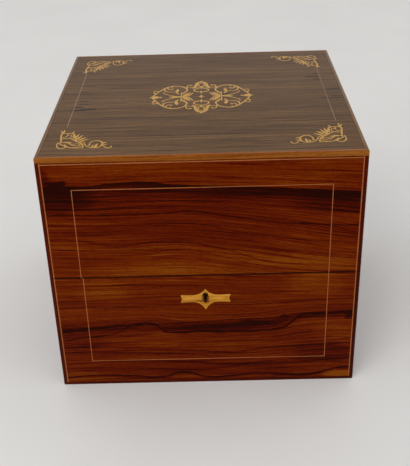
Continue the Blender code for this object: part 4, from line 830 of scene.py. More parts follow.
def marquetry_faces():
    """Divides the whole top into veneer and inlays in one plane, so that every inlay fills its window."""
    outlines = [rectangle(board_low[0], board_low[1], board_high[0], board_high[1])]
    owners = [None]
    for name, shapes in inlays.items():
        outlines += shapes
        owners += [name] * len(shapes)
    owned = {name: [] for name in (None, *inlays)}
    made, parts = divided(outlines)
    for part, source in parts:
        if source:
            owned[owners[max(source)]].append(part)
    return made, owned


def let_in(made, parts, low, high):
    """A flat piece of even thickness, from the parts of a divided plane that it covers."""
    bm = bmesh.new()
    used = sorted({index for part in parts for index in part})
    upper = {index: bm.verts.new((*made[index], high)) for index in used}
    lower = {index: bm.verts.new((*made[index], low)) for index in used}
    sides = {}
    for part in parts:
        bm.faces.new([upper[index] for index in part])
        bm.faces.new([lower[index] for index in reversed(part)])
        for one, two in zip(part, part[1:] + part[:1]):
            sides[(one, two)] = sides.pop((two, one), None) is None
    for (one, two), alone in sides.items():
        if alone:
            bm.faces.new((upper[two], upper[one], lower[one], lower[two]))
    return bm


def top_figure(finish):
    """The cracks that darken the top's veneer."""
    along = spread(finish, place_of(finish, "X"), packed_low[0], packed_high[0])
    level = spread(finish, place_of(finish, "Y"), packed_low[1], packed_high[1])
    torn = torn_level(finish, level, CRACK_TEAR, CRACK_TEAR_SHARE)
    shade = 0.0
    for (start, end), place, weight in TOP_CRACK_SHARES:
        aside = sums(finish, "ABSOLUTE", sums(finish, "SUBTRACT", along, (start + end) / 2))
        half = (end - start) / 2
        in_length = spread(finish, aside, half * CRACK_TIP_SHARE, half, -weight, 0.0, "SMOOTHSTEP")
        away = sums(finish, "ABSOLUTE", sums(finish, "SUBTRACT", torn, place))
        thin = spread(finish, away, CRACK_CORE_SHARE, CRACK_EDGE_SHARE, 1.0, 0.0, "SMOOTHSTEP")
        shade = sums(finish, "MULTIPLY_ADD", in_length, thin, shade)
    return None, shade


top_rosewood = wood("top_rosewood", LEVEL_TOP, TOP_STOPS, tone=0.66, band=0.5, thread=0.8, fibre=1.6,
                    line=0.25, sway=TOP_SWAY, gloss=0.38, gleam=0.08, tint=TOP_TINT, figure=top_figure)
top_boxwood = wood("boxwood_marquetry", LEVEL_TOP, MARQUETRY_STOPS, tone=0.6, band=0.4, thread=0.4,
                   gloss=0.34, gleam=0.15)
line_boxwood = wood("worn_stringing", LEVEL_SIDE, TOP_LINE_STOPS, thread=1.4, gloss=0.38, gleam=0.15)
plane, owned = marquetry_faces()
under = tall - VENEER
ground = bmesh.new()
add_block(ground, board_low, (board_high[0], board_high[1], under))
fit("top_board", ground, "lid", (bottom_mahogany,), ("lid_top",))
veneer = let_in(plane, owned[None], under, tall)
fit("top_veneer", veneer, "lid", (top_rosewood,), ("lid_top",))
for name in inlays:
    stands_for, finish = ((name,), top_boxwood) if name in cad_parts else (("lid_top",), line_boxwood)
    inlay = let_in(plane, owned[name], under, tall)
    fit(f"{name}_inlay", inlay, "lid", (finish,), stands_for)

# The escutcheon is a thin boxwood plate with pointed arms, let in flush round the keyhole. The key has
# rubbed it dark there, and scratched it to the left of the keyhole's foot. Over the keyhole the dark is
# partly painted shade of the hole.
ESCUTCHEON_STOPS = ((0.0, (0.10, 0.030, 0.004)), (0.35, (0.36, 0.130, 0.008)),
                    (0.6, (0.54, 0.230, 0.020)), (1.0, (0.68, 0.360, 0.070)))
WEAR_AND_SHADE_TEAR = (0.004, 0.0015, 2.0)
WEAR_AND_SHADE_TEAR_SHARE = 0.10
# The marks on the plate: their middle, how far they reach each way, and how much they darken it, or lighten
# it where that is negative. The first, over the keyhole, is partly rubbed wear and partly painted shade of
# the hole.
ESCUTCHEON_WEAR_AND_SHADE_SHARES = (
    ((0.5, 0.52), (0.095, 0.33), 0.75), ((0.37, 0.395), (0.09, 0.022), 0.6),
    ((0.455, 0.35), (0.09, 0.026), 0.75), ((0.545, 0.33), (0.05, 0.03), 0.5),
    ((0.16, 0.48), (0.14, 0.11), -0.14), ((0.76, 0.52), (0.16, 0.11), -0.16),
)


def escutcheon_figure(finish):
    """The wear and scratches round the keyhole, and the painted shade over the hole."""
    low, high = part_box("escutcheon")
    along = spread(finish, place_of(finish, "X"), low[0], high[0])
    level = spread(finish, place_of(finish, "Z"), low[2], high[2])
    torn = torn_level(finish, level, WEAR_AND_SHADE_TEAR, WEAR_AND_SHADE_TEAR_SHARE)
    shade = 0.0
    for stain in ESCUTCHEON_WEAR_AND_SHADE_SHARES:
        shade = sums(finish, "ADD", figure_cloud(finish, along, torn, stain), shade)
    return None, shade


escutcheon_boxwood = wood("boxwood_escutcheon", LEVEL_FRONT, ESCUTCHEON_STOPS, tone=0.58, band=0.6,
                          thread=0.7, figure=escutcheon_figure)
plate = board_of("escutcheon")
lengthen_points(plate)
fit("escutcheon_pointed", plate, "base", (escutcheon_boxwood,), ("escutcheon",))

# The hinges are two brass butts let into the rear rims and gone dull. Each base leaf has three knuckles
# with the pin riveted fast in them, each lid leaf two, and three countersunk screws hold every leaf.
KNUCKLES = 5
KNUCKLE_RADIUS = 0.0026
KNUCKLE_GAP = 0.0003
KNUCKLE_SIDES = 28
KNUCKLE_EASE = 0.0002
PIN_RADIUS = 0.0011
PIN_BORE = 0.0013
PIN_OVERHANG = 0.0005
LEAF_THICKNESS = 0.0015
LEAF_REACH = 0.0074
LEAF_TONGUE = 0.0010
SCREW_RADIUS = 0.0014
SCREW_PROUD = 0.0001
SCREW_DEPTH = 0.0006
SCREW_SLOT = 0.0005
SCREW_STEPS = 9
HINGE_SCREW_SHARES = (-0.74, 0.0, 0.74)
SCREW_TURN = math.radians(67)
HINGE_ARRIS = math.radians(35)
TARNISH_AND_SHADE = 1

DARK_BRASS = (0.30, 0.165, 0.050)
WORN_BRASS = (0.68, 0.44, 0.16)
TARNISH_AND_SHADE_DARK = (0.05, 0.030, 0.012)
TARNISH_AND_SHADE_LIGHT = (0.12, 0.070, 0.025)
SCRATCH_THREAD = (0.012, 0.0002, 2.0)
BLOOM_THREAD = (0.009, 0.009, 3.0)
SCRATCH_SHADE = 0.3
BLOOM_SHADE = 0.9
SCRATCH_DULLNESS = 0.12
BLOOM_DULLNESS = 0.2
SCRATCH_RELIEF = 0.0001
SCRATCH_STRENGTH = 0.08
METAL_TONE_SHARES = (0.2, 0.8)


def metal(name, dark, light, gloss):
    """A metal that was polished by hand: fine scratches one way, and a soft bloom of tarnish."""
    finish, shader = new_finish(name)
    grain = grain_of(finish, LEVEL_FRONT, 0.0)
    marks = threads(finish, grain, *SCRATCH_THREAD)
    bloom = threads(finish, grain, *BLOOM_THREAD)
    even = EVEN_SHARE - (SCRATCH_SHADE + BLOOM_SHADE) / 2
    tone = sums(finish, "MULTIPLY_ADD", marks, SCRATCH_SHADE, even)
    tone = sums(finish, "MULTIPLY_ADD", bloom, BLOOM_SHADE, tone)
    colour = ramp(finish, tone, tuple(zip(METAL_TONE_SHARES, (dark, light))))
    even = gloss - (SCRATCH_DULLNESS + BLOOM_DULLNESS) / 2
    rough = sums(finish, "MULTIPLY_ADD", marks, SCRATCH_DULLNESS, even)
    rough = sums(finish, "MULTIPLY_ADD", bloom, BLOOM_DULLNESS, rough)
    relief = {"Strength": SCRATCH_STRENGTH, "Distance": SCRATCH_RELIEF, "Height": marks}
    bump = step(finish, "ShaderNodeBump", relief, "Normal")
    feed(finish, shader, {"Base Color": colour, "Roughness": rough, "Normal": bump})
    shader.inputs["Metallic"].default_value = 1.0
    return finish


def ring_of(radius, level, sides):
    """A round ring of points at one level."""
    turns = [2 * math.pi * i / sides for i in range(sides)]
    return [Vector((radius * math.cos(turn), radius * math.sin(turn), level)) for turn in turns]


def loft(bm, rings, place, closed=False):
    """Skins a run of rings at a place, and closes its ends, or joins them where the run is closed."""
    rows = [[bm.verts.new(place @ point) for point in ring] for ring in rings]
    if closed:
        rows.append(rows[0])
    else:
        bm.faces.new(rows[0][::-1])
        bm.faces.new(rows[-1])
    for lower, upper in zip(rows, rows[1:]):
        for i, point in enumerate(lower):
            j = (i + 1) % len(lower)
            bm.faces.new((point, lower[j], upper[j], upper[i]))


def turn(bm, profile, sides, place, closed=False):
    """Turns a profile of (radius, level) points about the upright line of a place."""
    loft(bm, [ring_of(radius, level, sides) for radius, level in profile], place, closed)


def add_screw(bm, place, turned_by):
    """A countersunk screw: two halves of a head, a hair proud of the plate, and a slot, dark partly with
    tarnish and partly with painted shade.
    """
    seat = place @ Matrix.Rotation(turned_by, 4, "Z")
    start = math.asin(SCREW_SLOT / 2 / SCREW_RADIUS)
    for half in (0, math.pi):
        edge = []
        for i in range(SCREW_STEPS + 1):
            arc = half + start + (math.pi - 2 * start) * i / SCREW_STEPS
            edge.append(Vector((SCREW_RADIUS * math.cos(arc), SCREW_RADIUS * math.sin(arc), 0)))
        down, up = Vector((0, 0, -SCREW_DEPTH)), Vector((0, 0, SCREW_PROUD))
        loft(bm, [[point + down for point in edge], [point + up for point in edge]], seat)
    # The slot is a thin block of near-black brass, partly tarnish and partly painted shade in the slot
    before = len(bm.faces)
    reach = SCREW_RADIUS * math.cos(start)
    slot = [point.to_3d() for point in rectangle(-reach, -SCREW_SLOT / 2, reach, SCREW_SLOT / 2)]
    floor = Vector((0, 0, SCREW_PROUD / 4))
    loft(bm, [[point - floor for point in slot], [point + floor for point in slot]], seat)
    bm.faces.ensure_lookup_table()
    for polygon in bm.faces[before:]:
        polygon.material_index = TARNISH_AND_SHADE


lock_brass = metal("lock_brass", DARK_BRASS, WORN_BRASS, gloss=0.32)
# Near-black brass for the screw slots, partly tarnish and partly painted shade
tarnish_and_shade_brass = metal("tarnish_and_shade_brass", TARNISH_AND_SHADE_DARK, TARNISH_AND_SHADE_LIGHT, gloss=0.55)
along_pin = Matrix.Rotation(math.pi / 2, 4, "Y")
upside_down = Matrix.Rotation(math.pi, 4, "X")
for side, _ in SIDES:
    low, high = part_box(f"hinge_lid_leaf_{side}")
    centre, half = (low[0] + high[0]) / 2, (high[0] - low[0]) / 2
    length = (2 * half - KNUCKLE_GAP * (KNUCKLES - 1)) / KNUCKLES
    plate_back = HINGE_LINE_Y - KNUCKLE_RADIUS - KNUCKLE_GAP
    plate_front = HINGE_LINE_Y - LEAF_REACH
    hinge_line = Matrix.Translation((centre, HINGE_LINE_Y, seam_level)) @ along_pin
    for number, owner in enumerate(("base", "lid")):
        face = rim_of[owner]
        levels = (face - LEAF_THICKNESS, face) if owner == "base" else (face, face + LEAF_THICKNESS)
        bm = bmesh.new()
        add_block(bm, (centre - half, plate_front, levels[0]), (centre + half, plate_back, levels[1]))
        for knuckle in range(number, KNUCKLES, 2):
            start = -half + knuckle * (length + KNUCKLE_GAP)
            end = start + length
            add_block(bm, (centre + start + KNUCKLE_GAP, plate_back, levels[0]),
                      (centre + end - KNUCKLE_GAP, plate_back + KNUCKLE_GAP + LEAF_TONGUE, levels[1]))
            bore = PIN_BORE if owner == "lid" else PIN_RADIUS
            barrel = [(bore, start), (KNUCKLE_RADIUS - KNUCKLE_EASE, start),
                      (KNUCKLE_RADIUS, start + KNUCKLE_EASE), (KNUCKLE_RADIUS, end - KNUCKLE_EASE),
                      (KNUCKLE_RADIUS - KNUCKLE_EASE, end), (bore, end)]
            turn(bm, barrel, KNUCKLE_SIDES, hinge_line, closed=True)
        if owner == "base":
            tip = half + PIN_OVERHANG
            pin = [(PIN_RADIUS / 2, -tip), (PIN_RADIUS, -half), (PIN_RADIUS, half), (PIN_RADIUS / 2, tip)]
            turn(bm, pin, KNUCKLE_SIDES, hinge_line)
        facing = Matrix.Identity(4) if owner == "base" else upside_down
        for i, share in enumerate(HINGE_SCREW_SHARES):
            seat = Matrix.Translation((centre + share * half, (plate_front + plate_back) / 2, face)) @ facing
            add_screw(bm, seat, SCREW_TURN * (i + 1))
        leaf = f"hinge_{owner}_leaf_{side}"
        fit(f"{leaf}_butt", bm, owner, (lock_brass, tarnish_and_shade_brass), (leaf,), HINGE_ARRIS)

# The lock is a brass box lock: a plate folded over the rim, a cap over the works, and a steel bolt with its
# spring. The lid's rim carries the link plate, with the two staples that the bolt slides through.
LOCK_SCREW_SIDE = 0.0255
LOCK_SCREW_INSET = 0.0050
LINK_SCREW_SIDE = 0.0230
STEEL_DARK = (0.13, 0.125, 0.12)
STEEL_LIGHT = (0.42, 0.41, 0.40)

lock_steel = metal("lock_steel", STEEL_DARK, STEEL_LIGHT, gloss=0.35)
for name in ("lock_plate", "lock_cap", "link_plate", "staple_left", "staple_right"):
    refinish(name, lock_brass)
for name in ("lock_bolt", "lock_spring"):
    refinish(name, lock_steel)
plate_low, plate_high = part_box("lock_plate")
rim_middle = (plate_low[1] + plate_high[1]) / 2
inward = Matrix.Rotation(-math.pi / 2, 4, "X")
screws = bmesh.new()
for i, sx in enumerate((-1, 1)):
    seat = Matrix.Translation((sx * LOCK_SCREW_SIDE, rim_middle, plate_high[2]))
    add_screw(screws, seat, SCREW_TURN * (i + 2))
    for j, level in enumerate((plate_low[2] + LOCK_SCREW_INSET, plate_high[2] - LOCK_SCREW_INSET)):
        seat = Matrix.Translation((sx * LOCK_SCREW_SIDE, plate_high[1], level)) @ inward
        add_screw(screws, seat, SCREW_TURN * (i + 2 * j))
fit("lock_screws", screws, "base", (lock_brass, tarnish_and_shade_brass))
screws = bmesh.new()
for i, sx in enumerate((-1, 1)):
    seat = Matrix.Translation((sx * LINK_SCREW_SIDE, rim_middle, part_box("link_plate")[0][2]))
    add_screw(screws, seat @ upside_down, SCREW_TURN * (i + 3))
fit("link_screws", screws, "lid", (lock_brass, tarnish_and_shade_brass))

# The rack is thin mahogany, sawn and pierced: a floor, and a shelf with a round hole for every glass and an
# opening with cut corners for every decanter, so that each of them stands upright.
GLASS_HOLE_RADIUS = 0.0220
GLASS_HOLE_SIDES = 48
DECANTER_PLAY = 0.0010
DECANTER_CUT = 0.0090
ROD_HOLE_RADIUS = 0.0033
SHELF_ARRIS = math.radians(35)


def pieces(start):
    """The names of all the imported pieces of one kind, which start alike."""
    return [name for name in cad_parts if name.startswith(start)]


def stand_of(name):
    """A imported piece's half width and height, and the place where it stands."""
    low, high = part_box(name)
    foot = ((low[0] + high[0]) / 2, (low[1] + high[1]) / 2, low[2])
    return (high[0] - low[0]) / 2, high[2] - low[2], Matrix.Translation(foot)


def eight_sided(half, cut, level, steps=1):
    """A ring round a square with cut corners, with so many steps to each of its eight sides."""
    corners = []
    for quarter in range(4):
        for point in ((half, cut - half), (half, half - cut)):
            corners.append(Matrix.Rotation(quarter * math.pi / 2, 3, "Z") @ Vector((*point, level)))
    ring = []
    for start, end in zip(corners, corners[1:] + corners[:1]):
        ring += [start.lerp(end, i / steps) for i in range(steps)]
    return ring


def pierced(outline, holes, low, high):
    """A flat board with holes sawn through it."""
    made, parts = divided((outline, *holes))
    return let_in(made, [part for part, source in parts if list(source) == [0]], low, high)


rack_mahogany = wood("rack_mahogany", LEVEL_TOP, MAHOGANY_STOPS, band=0.5, gloss=0.38)
refinish("rack_floor", rack_mahogany)
shelf_low, shelf_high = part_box("rack_shelf")
holes = []
for name in pieces("glass_"):
    _, _, place = stand_of(name)
    holes.append([place @ point for point in ring_of(GLASS_HOLE_RADIUS, 0, GLASS_HOLE_SIDES)])
for name in pieces("decanter_"):
    half, _, place = stand_of(name)
    holes.append([place @ point for point in eight_sided(half + DECANTER_PLAY, DECANTER_CUT, 0)])
holes.append(ring_of(ROD_HOLE_RADIUS, 0, GLASS_HOLE_SIDES))
board = rectangle(shelf_low[0], shelf_low[1], shelf_high[0], shelf_high[1])
shelf = pierced(board, holes, shelf_low[2], shelf_high[2])
fit("rack_shelf_pierced", shelf, "rack", (rack_mahogany,), ("rack_shelf",), SHELF_ARRIS)

# Four little mahogany posts hold the shelf up, glued between it and the floor. Each is turned with the
# grain upright, with a foot and a ring at both ends and a bead in the middle.
POST_SIDES = 28
POST_ARRIS = math.radians(40)
POST_SHARES = (
    (0.9, 0), (1, 0.012), (1, 0.066), (0.88, 0.08), (0.7, 0.088), (0.94, 0.104), (1, 0.124), (0.9, 0.145),
    (0.62, 0.16), (0.56, 0.25), (0.58, 0.36), (0.64, 0.42), (0.58, 0.438), (0.72, 0.452), (0.79, 0.475),
)

post_mahogany = wood("post_mahogany", UPRIGHT, MAHOGANY_STOPS, tone=0.4, band=0.3, gloss=0.35)
for name in pieces("rack_post"):
    radius, height, place = stand_of(name)
    upper_shares = [(width, 1 - level) for width, level in reversed(POST_SHARES)]
    profile = [(radius * width, height * level) for width, level in (*POST_SHARES, *upper_shares)]
    bm = bmesh.new()
    turn(bm, profile, POST_SIDES, place)
    fit(f"{name}_turned", bm, "rack", (post_mahogany,), (name,), POST_ARRIS)

# The handle is turned and cast in brass: a moulded flange on the floor, a rod between the decanters, a
# round knob near its head, and a ring to lift the rack by.
HANDLE_RING_RADIUS = 0.0130
HANDLE_WIRE = 0.0024
HANDLE_ROD = 0.0028
HANDLE_KNOB = 0.0050
FLANGE_RADIUS = 0.0085
FLANGE_HEIGHT = 0.0025
HANDLE_SIDES = 36
WIRE_SIDES = 16
KNOB_STEPS = 10
HANDLE_ARRIS = math.radians(40)
FLANGE_SHARES = (
    (0.97, 0), (1, 0.12), (1, 0.5), (0.94, 0.75), (0.86, 0.9), (0.72, 1), (0.6, 1.04), (0.5, 1.2),
    (0.41, 1.55), (0.345, 2),
)

_, height, place = stand_of("rack_handle")
ring_level = height - HANDLE_RING_RADIUS - HANDLE_WIRE
knob_level = ring_level - HANDLE_RING_RADIUS - HANDLE_KNOB
profile = [(FLANGE_RADIUS * width, FLANGE_HEIGHT * level) for width, level in FLANGE_SHARES]
profile.append((HANDLE_ROD, knob_level - HANDLE_KNOB))
lean_out = math.acos(HANDLE_ROD / HANDLE_KNOB)
for i in range(KNOB_STEPS + 1):
    tilt = lean_out * (2 * i / KNOB_STEPS - 1)
    profile.append((HANDLE_KNOB * math.cos(tilt), knob_level + HANDLE_KNOB * math.sin(tilt)))
profile.append((HANDLE_ROD, ring_level - HANDLE_RING_RADIUS))
bm = bmesh.new()
turn(bm, profile, HANDLE_SIDES, place)
wire = []
for i in range(WIRE_SIDES):
    t = 2 * math.pi * i / WIRE_SIDES
    wire.append((HANDLE_RING_RADIUS + HANDLE_WIRE * math.sin(t), -HANDLE_WIRE * math.cos(t)))
stood_up = Matrix.Translation((0, 0, ring_level)) @ Matrix.Rotation(math.pi / 2, 4, "X")
turn(bm, wire, HANDLE_SIDES, place @ stood_up, closed=True)
fit("rack_handle_turned", bm, "rack", (lock_brass,), ("rack_handle",), HANDLE_ARRIS)

# Sixteen small liqueur glasses are blown in clear crystal, with ten flat panels cut round the lower bowl
# and a knop on the stem, and their rims are fire-polished.
GLASS_PANELS = 10
GLASS_SIDES = 3 * GLASS_PANELS
GLASS_PANEL_SHARES = (0.50, 0.74)
GLASS_ARRIS = math.radians(30)
CRYSTAL_SHADE = (0.972, 0.988, 0.982)
CRYSTAL_LIGHT = (0.994, 0.998, 0.996)
CRYSTAL_IOR = 1.52
CUT_ROUGHNESS = 0.02
CUT_RIPPLE = 0.05
RIPPLES_PER_METRE = 220.0
RIPPLE_BREAK = 2.0
RIPPLE_RELIEF = 0.0002

# A glass's outside from the foot up and its inside from the rim down, as shares of its radius and height
GLASS_OUTSIDE_SHARES = (
    (0.85, 0), (0.9, 0.005), (0.9, 0.014), (0.83, 0.021), (0.5, 0.036), (0.23, 0.058), (0.145, 0.09),
    (0.13, 0.15), (0.125, 0.3), (0.135, 0.38), (0.19, 0.41), (0.234, 0.443), (0.19, 0.476), (0.15, 0.497),
    (0.23, 0.528), (0.48, 0.556), (0.7, 0.586), (0.86, 0.625), (0.94, 0.67), (0.96, 0.74), (0.965, 0.79),
    (0.975, 0.88), (0.99, 0.98), (0.984, 0.996),
)
GLASS_INSIDE_SHARES = (
    (0.962, 1), (0.936, 0.994), (0.92, 0.9), (0.9, 0.76), (0.87, 0.69), (0.76, 0.645), (0.48, 0.615),
    (0.1, 0.608),
)


def crystal_finish(name, rough, ripple_height):
    """Clear glass with the faint ripple of hand work, ground where it is rough."""
    finish, shader = new_finish(name)
    point = step(finish, "ShaderNodeTexCoord", {}, "Object")
    feeds = {"Vector": point, "Scale": RIPPLES_PER_METRE, "Detail": RIPPLE_BREAK}
    ripple = step(finish, "ShaderNodeTexNoise", feeds)
    relief = {"Strength": ripple_height, "Distance": RIPPLE_RELIEF, "Height": ripple}
    bump = step(finish, "ShaderNodeBump", relief, "Normal")
    tint = ramp(finish, ripple, ((0.0, CRYSTAL_SHADE), (1.0, CRYSTAL_LIGHT)))
    dullness = sums(finish, "MULTIPLY_ADD", ripple, rough / 2, rough * 3 / 4)
    feed(finish, shader, {"Base Color": tint, "Roughness": dullness, "Normal": bump})
    shader.inputs["IOR"].default_value = CRYSTAL_IOR
    shader.inputs["Transmission Weight"].default_value = 1.0
    return finish


def cut_flat(ring):
    """Cuts a round ring flat into the panels of a glass."""
    half_panel = math.pi / GLASS_PANELS
    for i, point in enumerate(ring):
        off = (2 * math.pi * i / len(ring)) % (2 * half_panel) - half_panel
        flat = math.cos(half_panel) / math.cos(off)
        point.x *= flat
        point.y *= flat


crystal = crystal_finish("cut_crystal", CUT_ROUGHNESS, CUT_RIPPLE)
cut_low, cut_high = GLASS_PANEL_SHARES
for name in pieces("glass_"):
    radius, height, place = stand_of(name)
    rings = []
    for width, level in (*GLASS_OUTSIDE_SHARES, *GLASS_INSIDE_SHARES):
        rings.append(ring_of(radius * width, height * level, GLASS_SIDES))
    for (_, level), ring in zip(GLASS_OUTSIDE_SHARES, rings):
        if cut_low < level <= cut_high:
            cut_flat(ring)
    bm = bmesh.new()
    loft(bm, rings, place)
    fit(f"{name}_blown", bm, name, (crystal,), (name,), GLASS_ARRIS)

# The four decanters are blown square in crystal with cut corners, sloping shoulders, an eight-sided neck
# and a round lip. The foot and shoulders are eased, and the neck's bore is round, to take the stopper.
SIDE_STEPS = 4
OCTAGON_SHARE = 2 - math.sqrt(2)
FOOT_EASE = 0.0016
SHOULDER_EASE = 0.0015
SHOULDER_DROP = 0.0500
NECK_FOOT_DROP = 0.0300
LIP_DROP = 0.0040
NECK_RADIUS = 0.0130
NECK_BORE = 0.0085
LIP_RADIUS = 0.0170
GLASS_WALL = 0.0040
GLASS_BASE = 0.0080
DECANTER_ARRIS = math.radians(20)
SHOULDER_SAG_SHARES = ((0.25, 0.012), (0.5, 0.02), (0.75, 0.012))
LIP_SHARES = (
    (0.8, -0.12), (0.93, 0.02), (0.99, 0.3), (1, 0.62), (0.97, 0.88), (0.9, 1), (0.62, 1), (0.54, 0.94),
)


def round_ring(radius, level):
    """A round ring whose points answer to those of an eight-sided one."""
    points = 8 * SIDE_STEPS
    turns = [2 * math.pi * (i / points - 1 / 16) for i in range(points)]
    return [Vector((radius * math.cos(t), radius * math.sin(t), level)) for t in turns]


def octagon(radius, level):
    """A ring with eight equal sides."""
    return eight_sided(radius, radius * OCTAGON_SHARE, level, SIDE_STEPS)


for name in pieces("decanter_"):
    half, height, place = stand_of(name)
    shoulder, neck_foot, lip = height - SHOULDER_DROP, height - NECK_FOOT_DROP, height - LIP_DROP
    inner, inner_cut = half - GLASS_WALL, DECANTER_CUT - GLASS_WALL * OCTAGON_SHARE
    outside = [(half - FOOT_EASE, 0), (half - FOOT_EASE / 4, FOOT_EASE / 4), (half, FOOT_EASE),
               (half, shoulder - SHOULDER_EASE), (half - SHOULDER_EASE / 4, shoulder - SHOULDER_EASE / 4)]
    rings = [eight_sided(width, DECANTER_CUT, level, SIDE_STEPS) for width, level in outside]
    square = eight_sided(half, DECANTER_CUT, shoulder, SIDE_STEPS)
    collar = octagon(NECK_RADIUS, neck_foot)
    for share, sag in SHOULDER_SAG_SHARES:
        rings.append([a.lerp(b, share) - Vector((0, 0, sag * half)) for a, b in zip(square, collar)])
    rings += [collar, octagon(NECK_RADIUS, lip - LIP_DROP / 2)]
    rings += [round_ring(LIP_RADIUS * width, lip + LIP_DROP * level) for width, level in LIP_SHARES]
    rings += [round_ring(NECK_BORE, height - LIP_DROP / 4),
              round_ring(NECK_BORE, neck_foot - GLASS_WALL),
              eight_sided(inner, inner_cut, shoulder - GLASS_WALL / 2, SIDE_STEPS),
              eight_sided(inner, inner_cut, GLASS_BASE + GLASS_WALL / 2, SIDE_STEPS),
              eight_sided(inner - GLASS_WALL / 2, inner_cut, GLASS_BASE, SIDE_STEPS)]
    bm = bmesh.new()
    loft(bm, rings, place)
    fit(f"{name}_blown", bm, name, (crystal,), (name,), DECANTER_ARRIS)

# Each stopper is one piece of crystal: a plug ground to fit the neck, a collar that rests on the lip, and a
# knob cut all over in flat facets.
PLUG_SIDES = 32
PLUG_DEPTH = 0.0160
PLUG_RADIUS = 0.0082
PLUG_TAPER = 0.0008
COLLAR_RADIUS = 0.0105
COLLAR_THICKNESS = 0.0020
COLLAR_EASE = 0.0004
FACETS = 8
FACET_ARRIS = math.radians(15)
GROUND = 1
GROUND_ROUGHNESS = 0.45
GROUND_RIPPLE = 0.5

# The rings of a knob's facets: their width, their level, and the part of a facet by which each is turned
FACET_SHARES = (
    (0.56, 0.08, 0), (0.93, 0.24, 0.5), (1.05, 0.42, 0), (0.93, 0.66, 0.5), (0.66, 0.88, 0), (0.42, 1, 0.5),
)


def faceted_knob(bm, radius, low, high, place):
    """Rings of points, every other one turned by half a facet, with flat triangles between them."""
    rows = []
    for width, level, offset in FACET_SHARES:
        twist = Matrix.Rotation(2 * math.pi * (offset + 0.5) / FACETS, 3, "Z")
        ring = ring_of(radius * width, low + (high - low) * level, FACETS)
        rows.append([bm.verts.new(place @ (twist @ point)) for point in ring])
    bm.faces.new(rows[0][::-1])
    bm.faces.new(rows[-1])
    for lower, upper, (_, _, offset) in zip(rows, rows[1:], FACET_SHARES):
        lead = 1 if offset else 0
        for i, point in enumerate(lower):
            j = (i + 1) % FACETS
            above = upper[(i + lead) % FACETS]
            behind = upper[(i + lead - 1) % FACETS]
            bm.faces.new((point, lower[j], above))
            bm.faces.new((point, above, behind))


ground_crystal = crystal_finish("ground_crystal", GROUND_ROUGHNESS, GROUND_RIPPLE)
for name in pieces("stopper_"):
    radius, height, foot = stand_of(name)
    place = foot @ Matrix.Translation((0, 0, PLUG_DEPTH))
    bm = bmesh.new()
    plug = [(PLUG_RADIUS - PLUG_TAPER - COLLAR_EASE, -PLUG_DEPTH),
            (PLUG_RADIUS - PLUG_TAPER, COLLAR_EASE - PLUG_DEPTH), (PLUG_RADIUS, 0)]
    collar = [(COLLAR_RADIUS - COLLAR_EASE, 0), (COLLAR_RADIUS, COLLAR_EASE),
              (COLLAR_RADIUS, COLLAR_THICKNESS - COLLAR_EASE),
              (COLLAR_RADIUS - COLLAR_EASE, COLLAR_THICKNESS)]
    turn(bm, plug + collar, PLUG_SIDES, place)
    for polygon in bm.faces:
        middle = polygon.calc_center_median() - place.translation
        if middle.z < -COLLAR_EASE:
            polygon.material_index = GROUND
    faceted_knob(bm, radius, COLLAR_THICKNESS, height - PLUG_DEPTH, place)
    fit(f"{name}_cut", bm, name, (crystal, ground_crystal), (name,), FACET_ARRIS)

# The case stands on a plain pale floor, in soft light from the sky and one broad lamp at the front left.
# The camera looks down on it from the front.
FLOOR_SIZE = 60.0
FLOOR_COLOUR = (0.80, 0.79, 0.77)
FLOOR_SHADE_SHARE = 0.96
FLOOR_ROUGHNESS = 0.85
MOTTLES_PER_METRE = 6.0
MOTTLE_BREAK = 3.0
MOTTLE_TONE_SHARES = (0.3, 0.7)
SKY_STRENGTH = 0.78
LAMP_PLACE = (-0.9, -1.5, 1.7)
LAMP_SIZE = 1.2
LAMP_POWER = 14.0
CAMERA_PLACE = (0.00988, -0.8293, 0.5620)
CAMERA_YAW = math.radians(-0.7146)
CAMERA_PITCH = math.radians(29.463)
CAMERA_ROLL = math.radians(-1.723)
CAMERA_REACH = 835 / 466


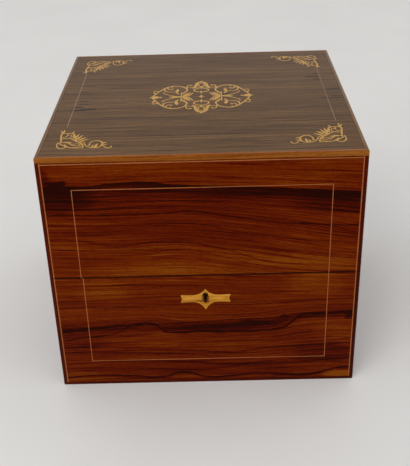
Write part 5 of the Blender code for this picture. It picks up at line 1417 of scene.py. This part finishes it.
def lay_floor():
    """A wide floor of one pale colour, mottled a little."""
    bm = bmesh.new()
    bmesh.ops.create_grid(bm, x_segments=1, y_segments=1, size=FLOOR_SIZE / 2)
    mesh = bpy.data.meshes.new("floor")
    bm.to_mesh(mesh)
    bm.free()
    finish, shader = new_finish("pale_floor")
    point = step(finish, "ShaderNodeTexCoord", {}, "Object")
    feeds = {"Vector": point, "Scale": MOTTLES_PER_METRE, "Detail": MOTTLE_BREAK}
    mottle = step(finish, "ShaderNodeTexNoise", feeds)
    shaded = tuple(FLOOR_SHADE_SHARE * share for share in FLOOR_COLOUR)
    colour = ramp(finish, mottle, tuple(zip(MOTTLE_TONE_SHARES, (shaded, FLOOR_COLOUR))))
    feed(finish, shader, {"Base Color": colour})
    shader.inputs["Roughness"].default_value = FLOOR_ROUGHNESS
    mesh.materials.append(finish)
    floor = bpy.data.objects.new("floor", mesh)
    bpy.context.scene.collection.objects.link(floor)


def light_sky():
    """Even pale light all round."""
    sky = bpy.data.worlds.new("studio_sky")
    sky.use_nodes = True
    bpy.context.scene.world = sky
    sky.node_tree.nodes["Background"].inputs["Color"].default_value = (1, 1, 1, 1)
    sky.node_tree.nodes["Background"].inputs["Strength"].default_value = SKY_STRENGTH


def hang_lamp():
    """One broad lamp that shines on the middle of the case."""
    lamp = bpy.data.lights.new("broad_lamp", "AREA")
    lamp.size = LAMP_SIZE
    lamp.energy = LAMP_POWER
    hung = bpy.data.objects.new("broad_lamp", lamp)
    hung.location = LAMP_PLACE
    middle = (Vector(packed_low) + Vector(packed_high)) / 2
    hung.rotation_euler = (middle - hung.location).to_track_quat("-Z", "Y").to_euler()
    bpy.context.scene.collection.objects.link(hung)


def set_camera():
    """The camera, turned by its yaw, its pitch and its roll."""
    level_reach = math.cos(CAMERA_PITCH)
    ahead = Vector((math.sin(CAMERA_YAW) * level_reach, math.cos(CAMERA_YAW) * level_reach,
                    -math.sin(CAMERA_PITCH)))
    level = Vector((math.cos(CAMERA_YAW), -math.sin(CAMERA_YAW), 0))
    above = level.cross(ahead)
    right = math.cos(CAMERA_ROLL) * level + math.sin(CAMERA_ROLL) * above
    up = math.cos(CAMERA_ROLL) * above - math.sin(CAMERA_ROLL) * level
    lens = bpy.data.cameras.new("camera")
    lens.lens = CAMERA_REACH * lens.sensor_width
    camera = bpy.data.objects.new("camera", lens)
    turned = Matrix((right, up, -ahead)).transposed().to_4x4()
    camera.matrix_world = Matrix.Translation(CAMERA_PLACE) @ turned
    bpy.context.scene.collection.objects.link(camera)
    bpy.context.scene.camera = camera


lay_floor()
light_sky()
hang_lamp()
set_camera()
bpy.context.scene.view_settings.view_transform = "Standard"
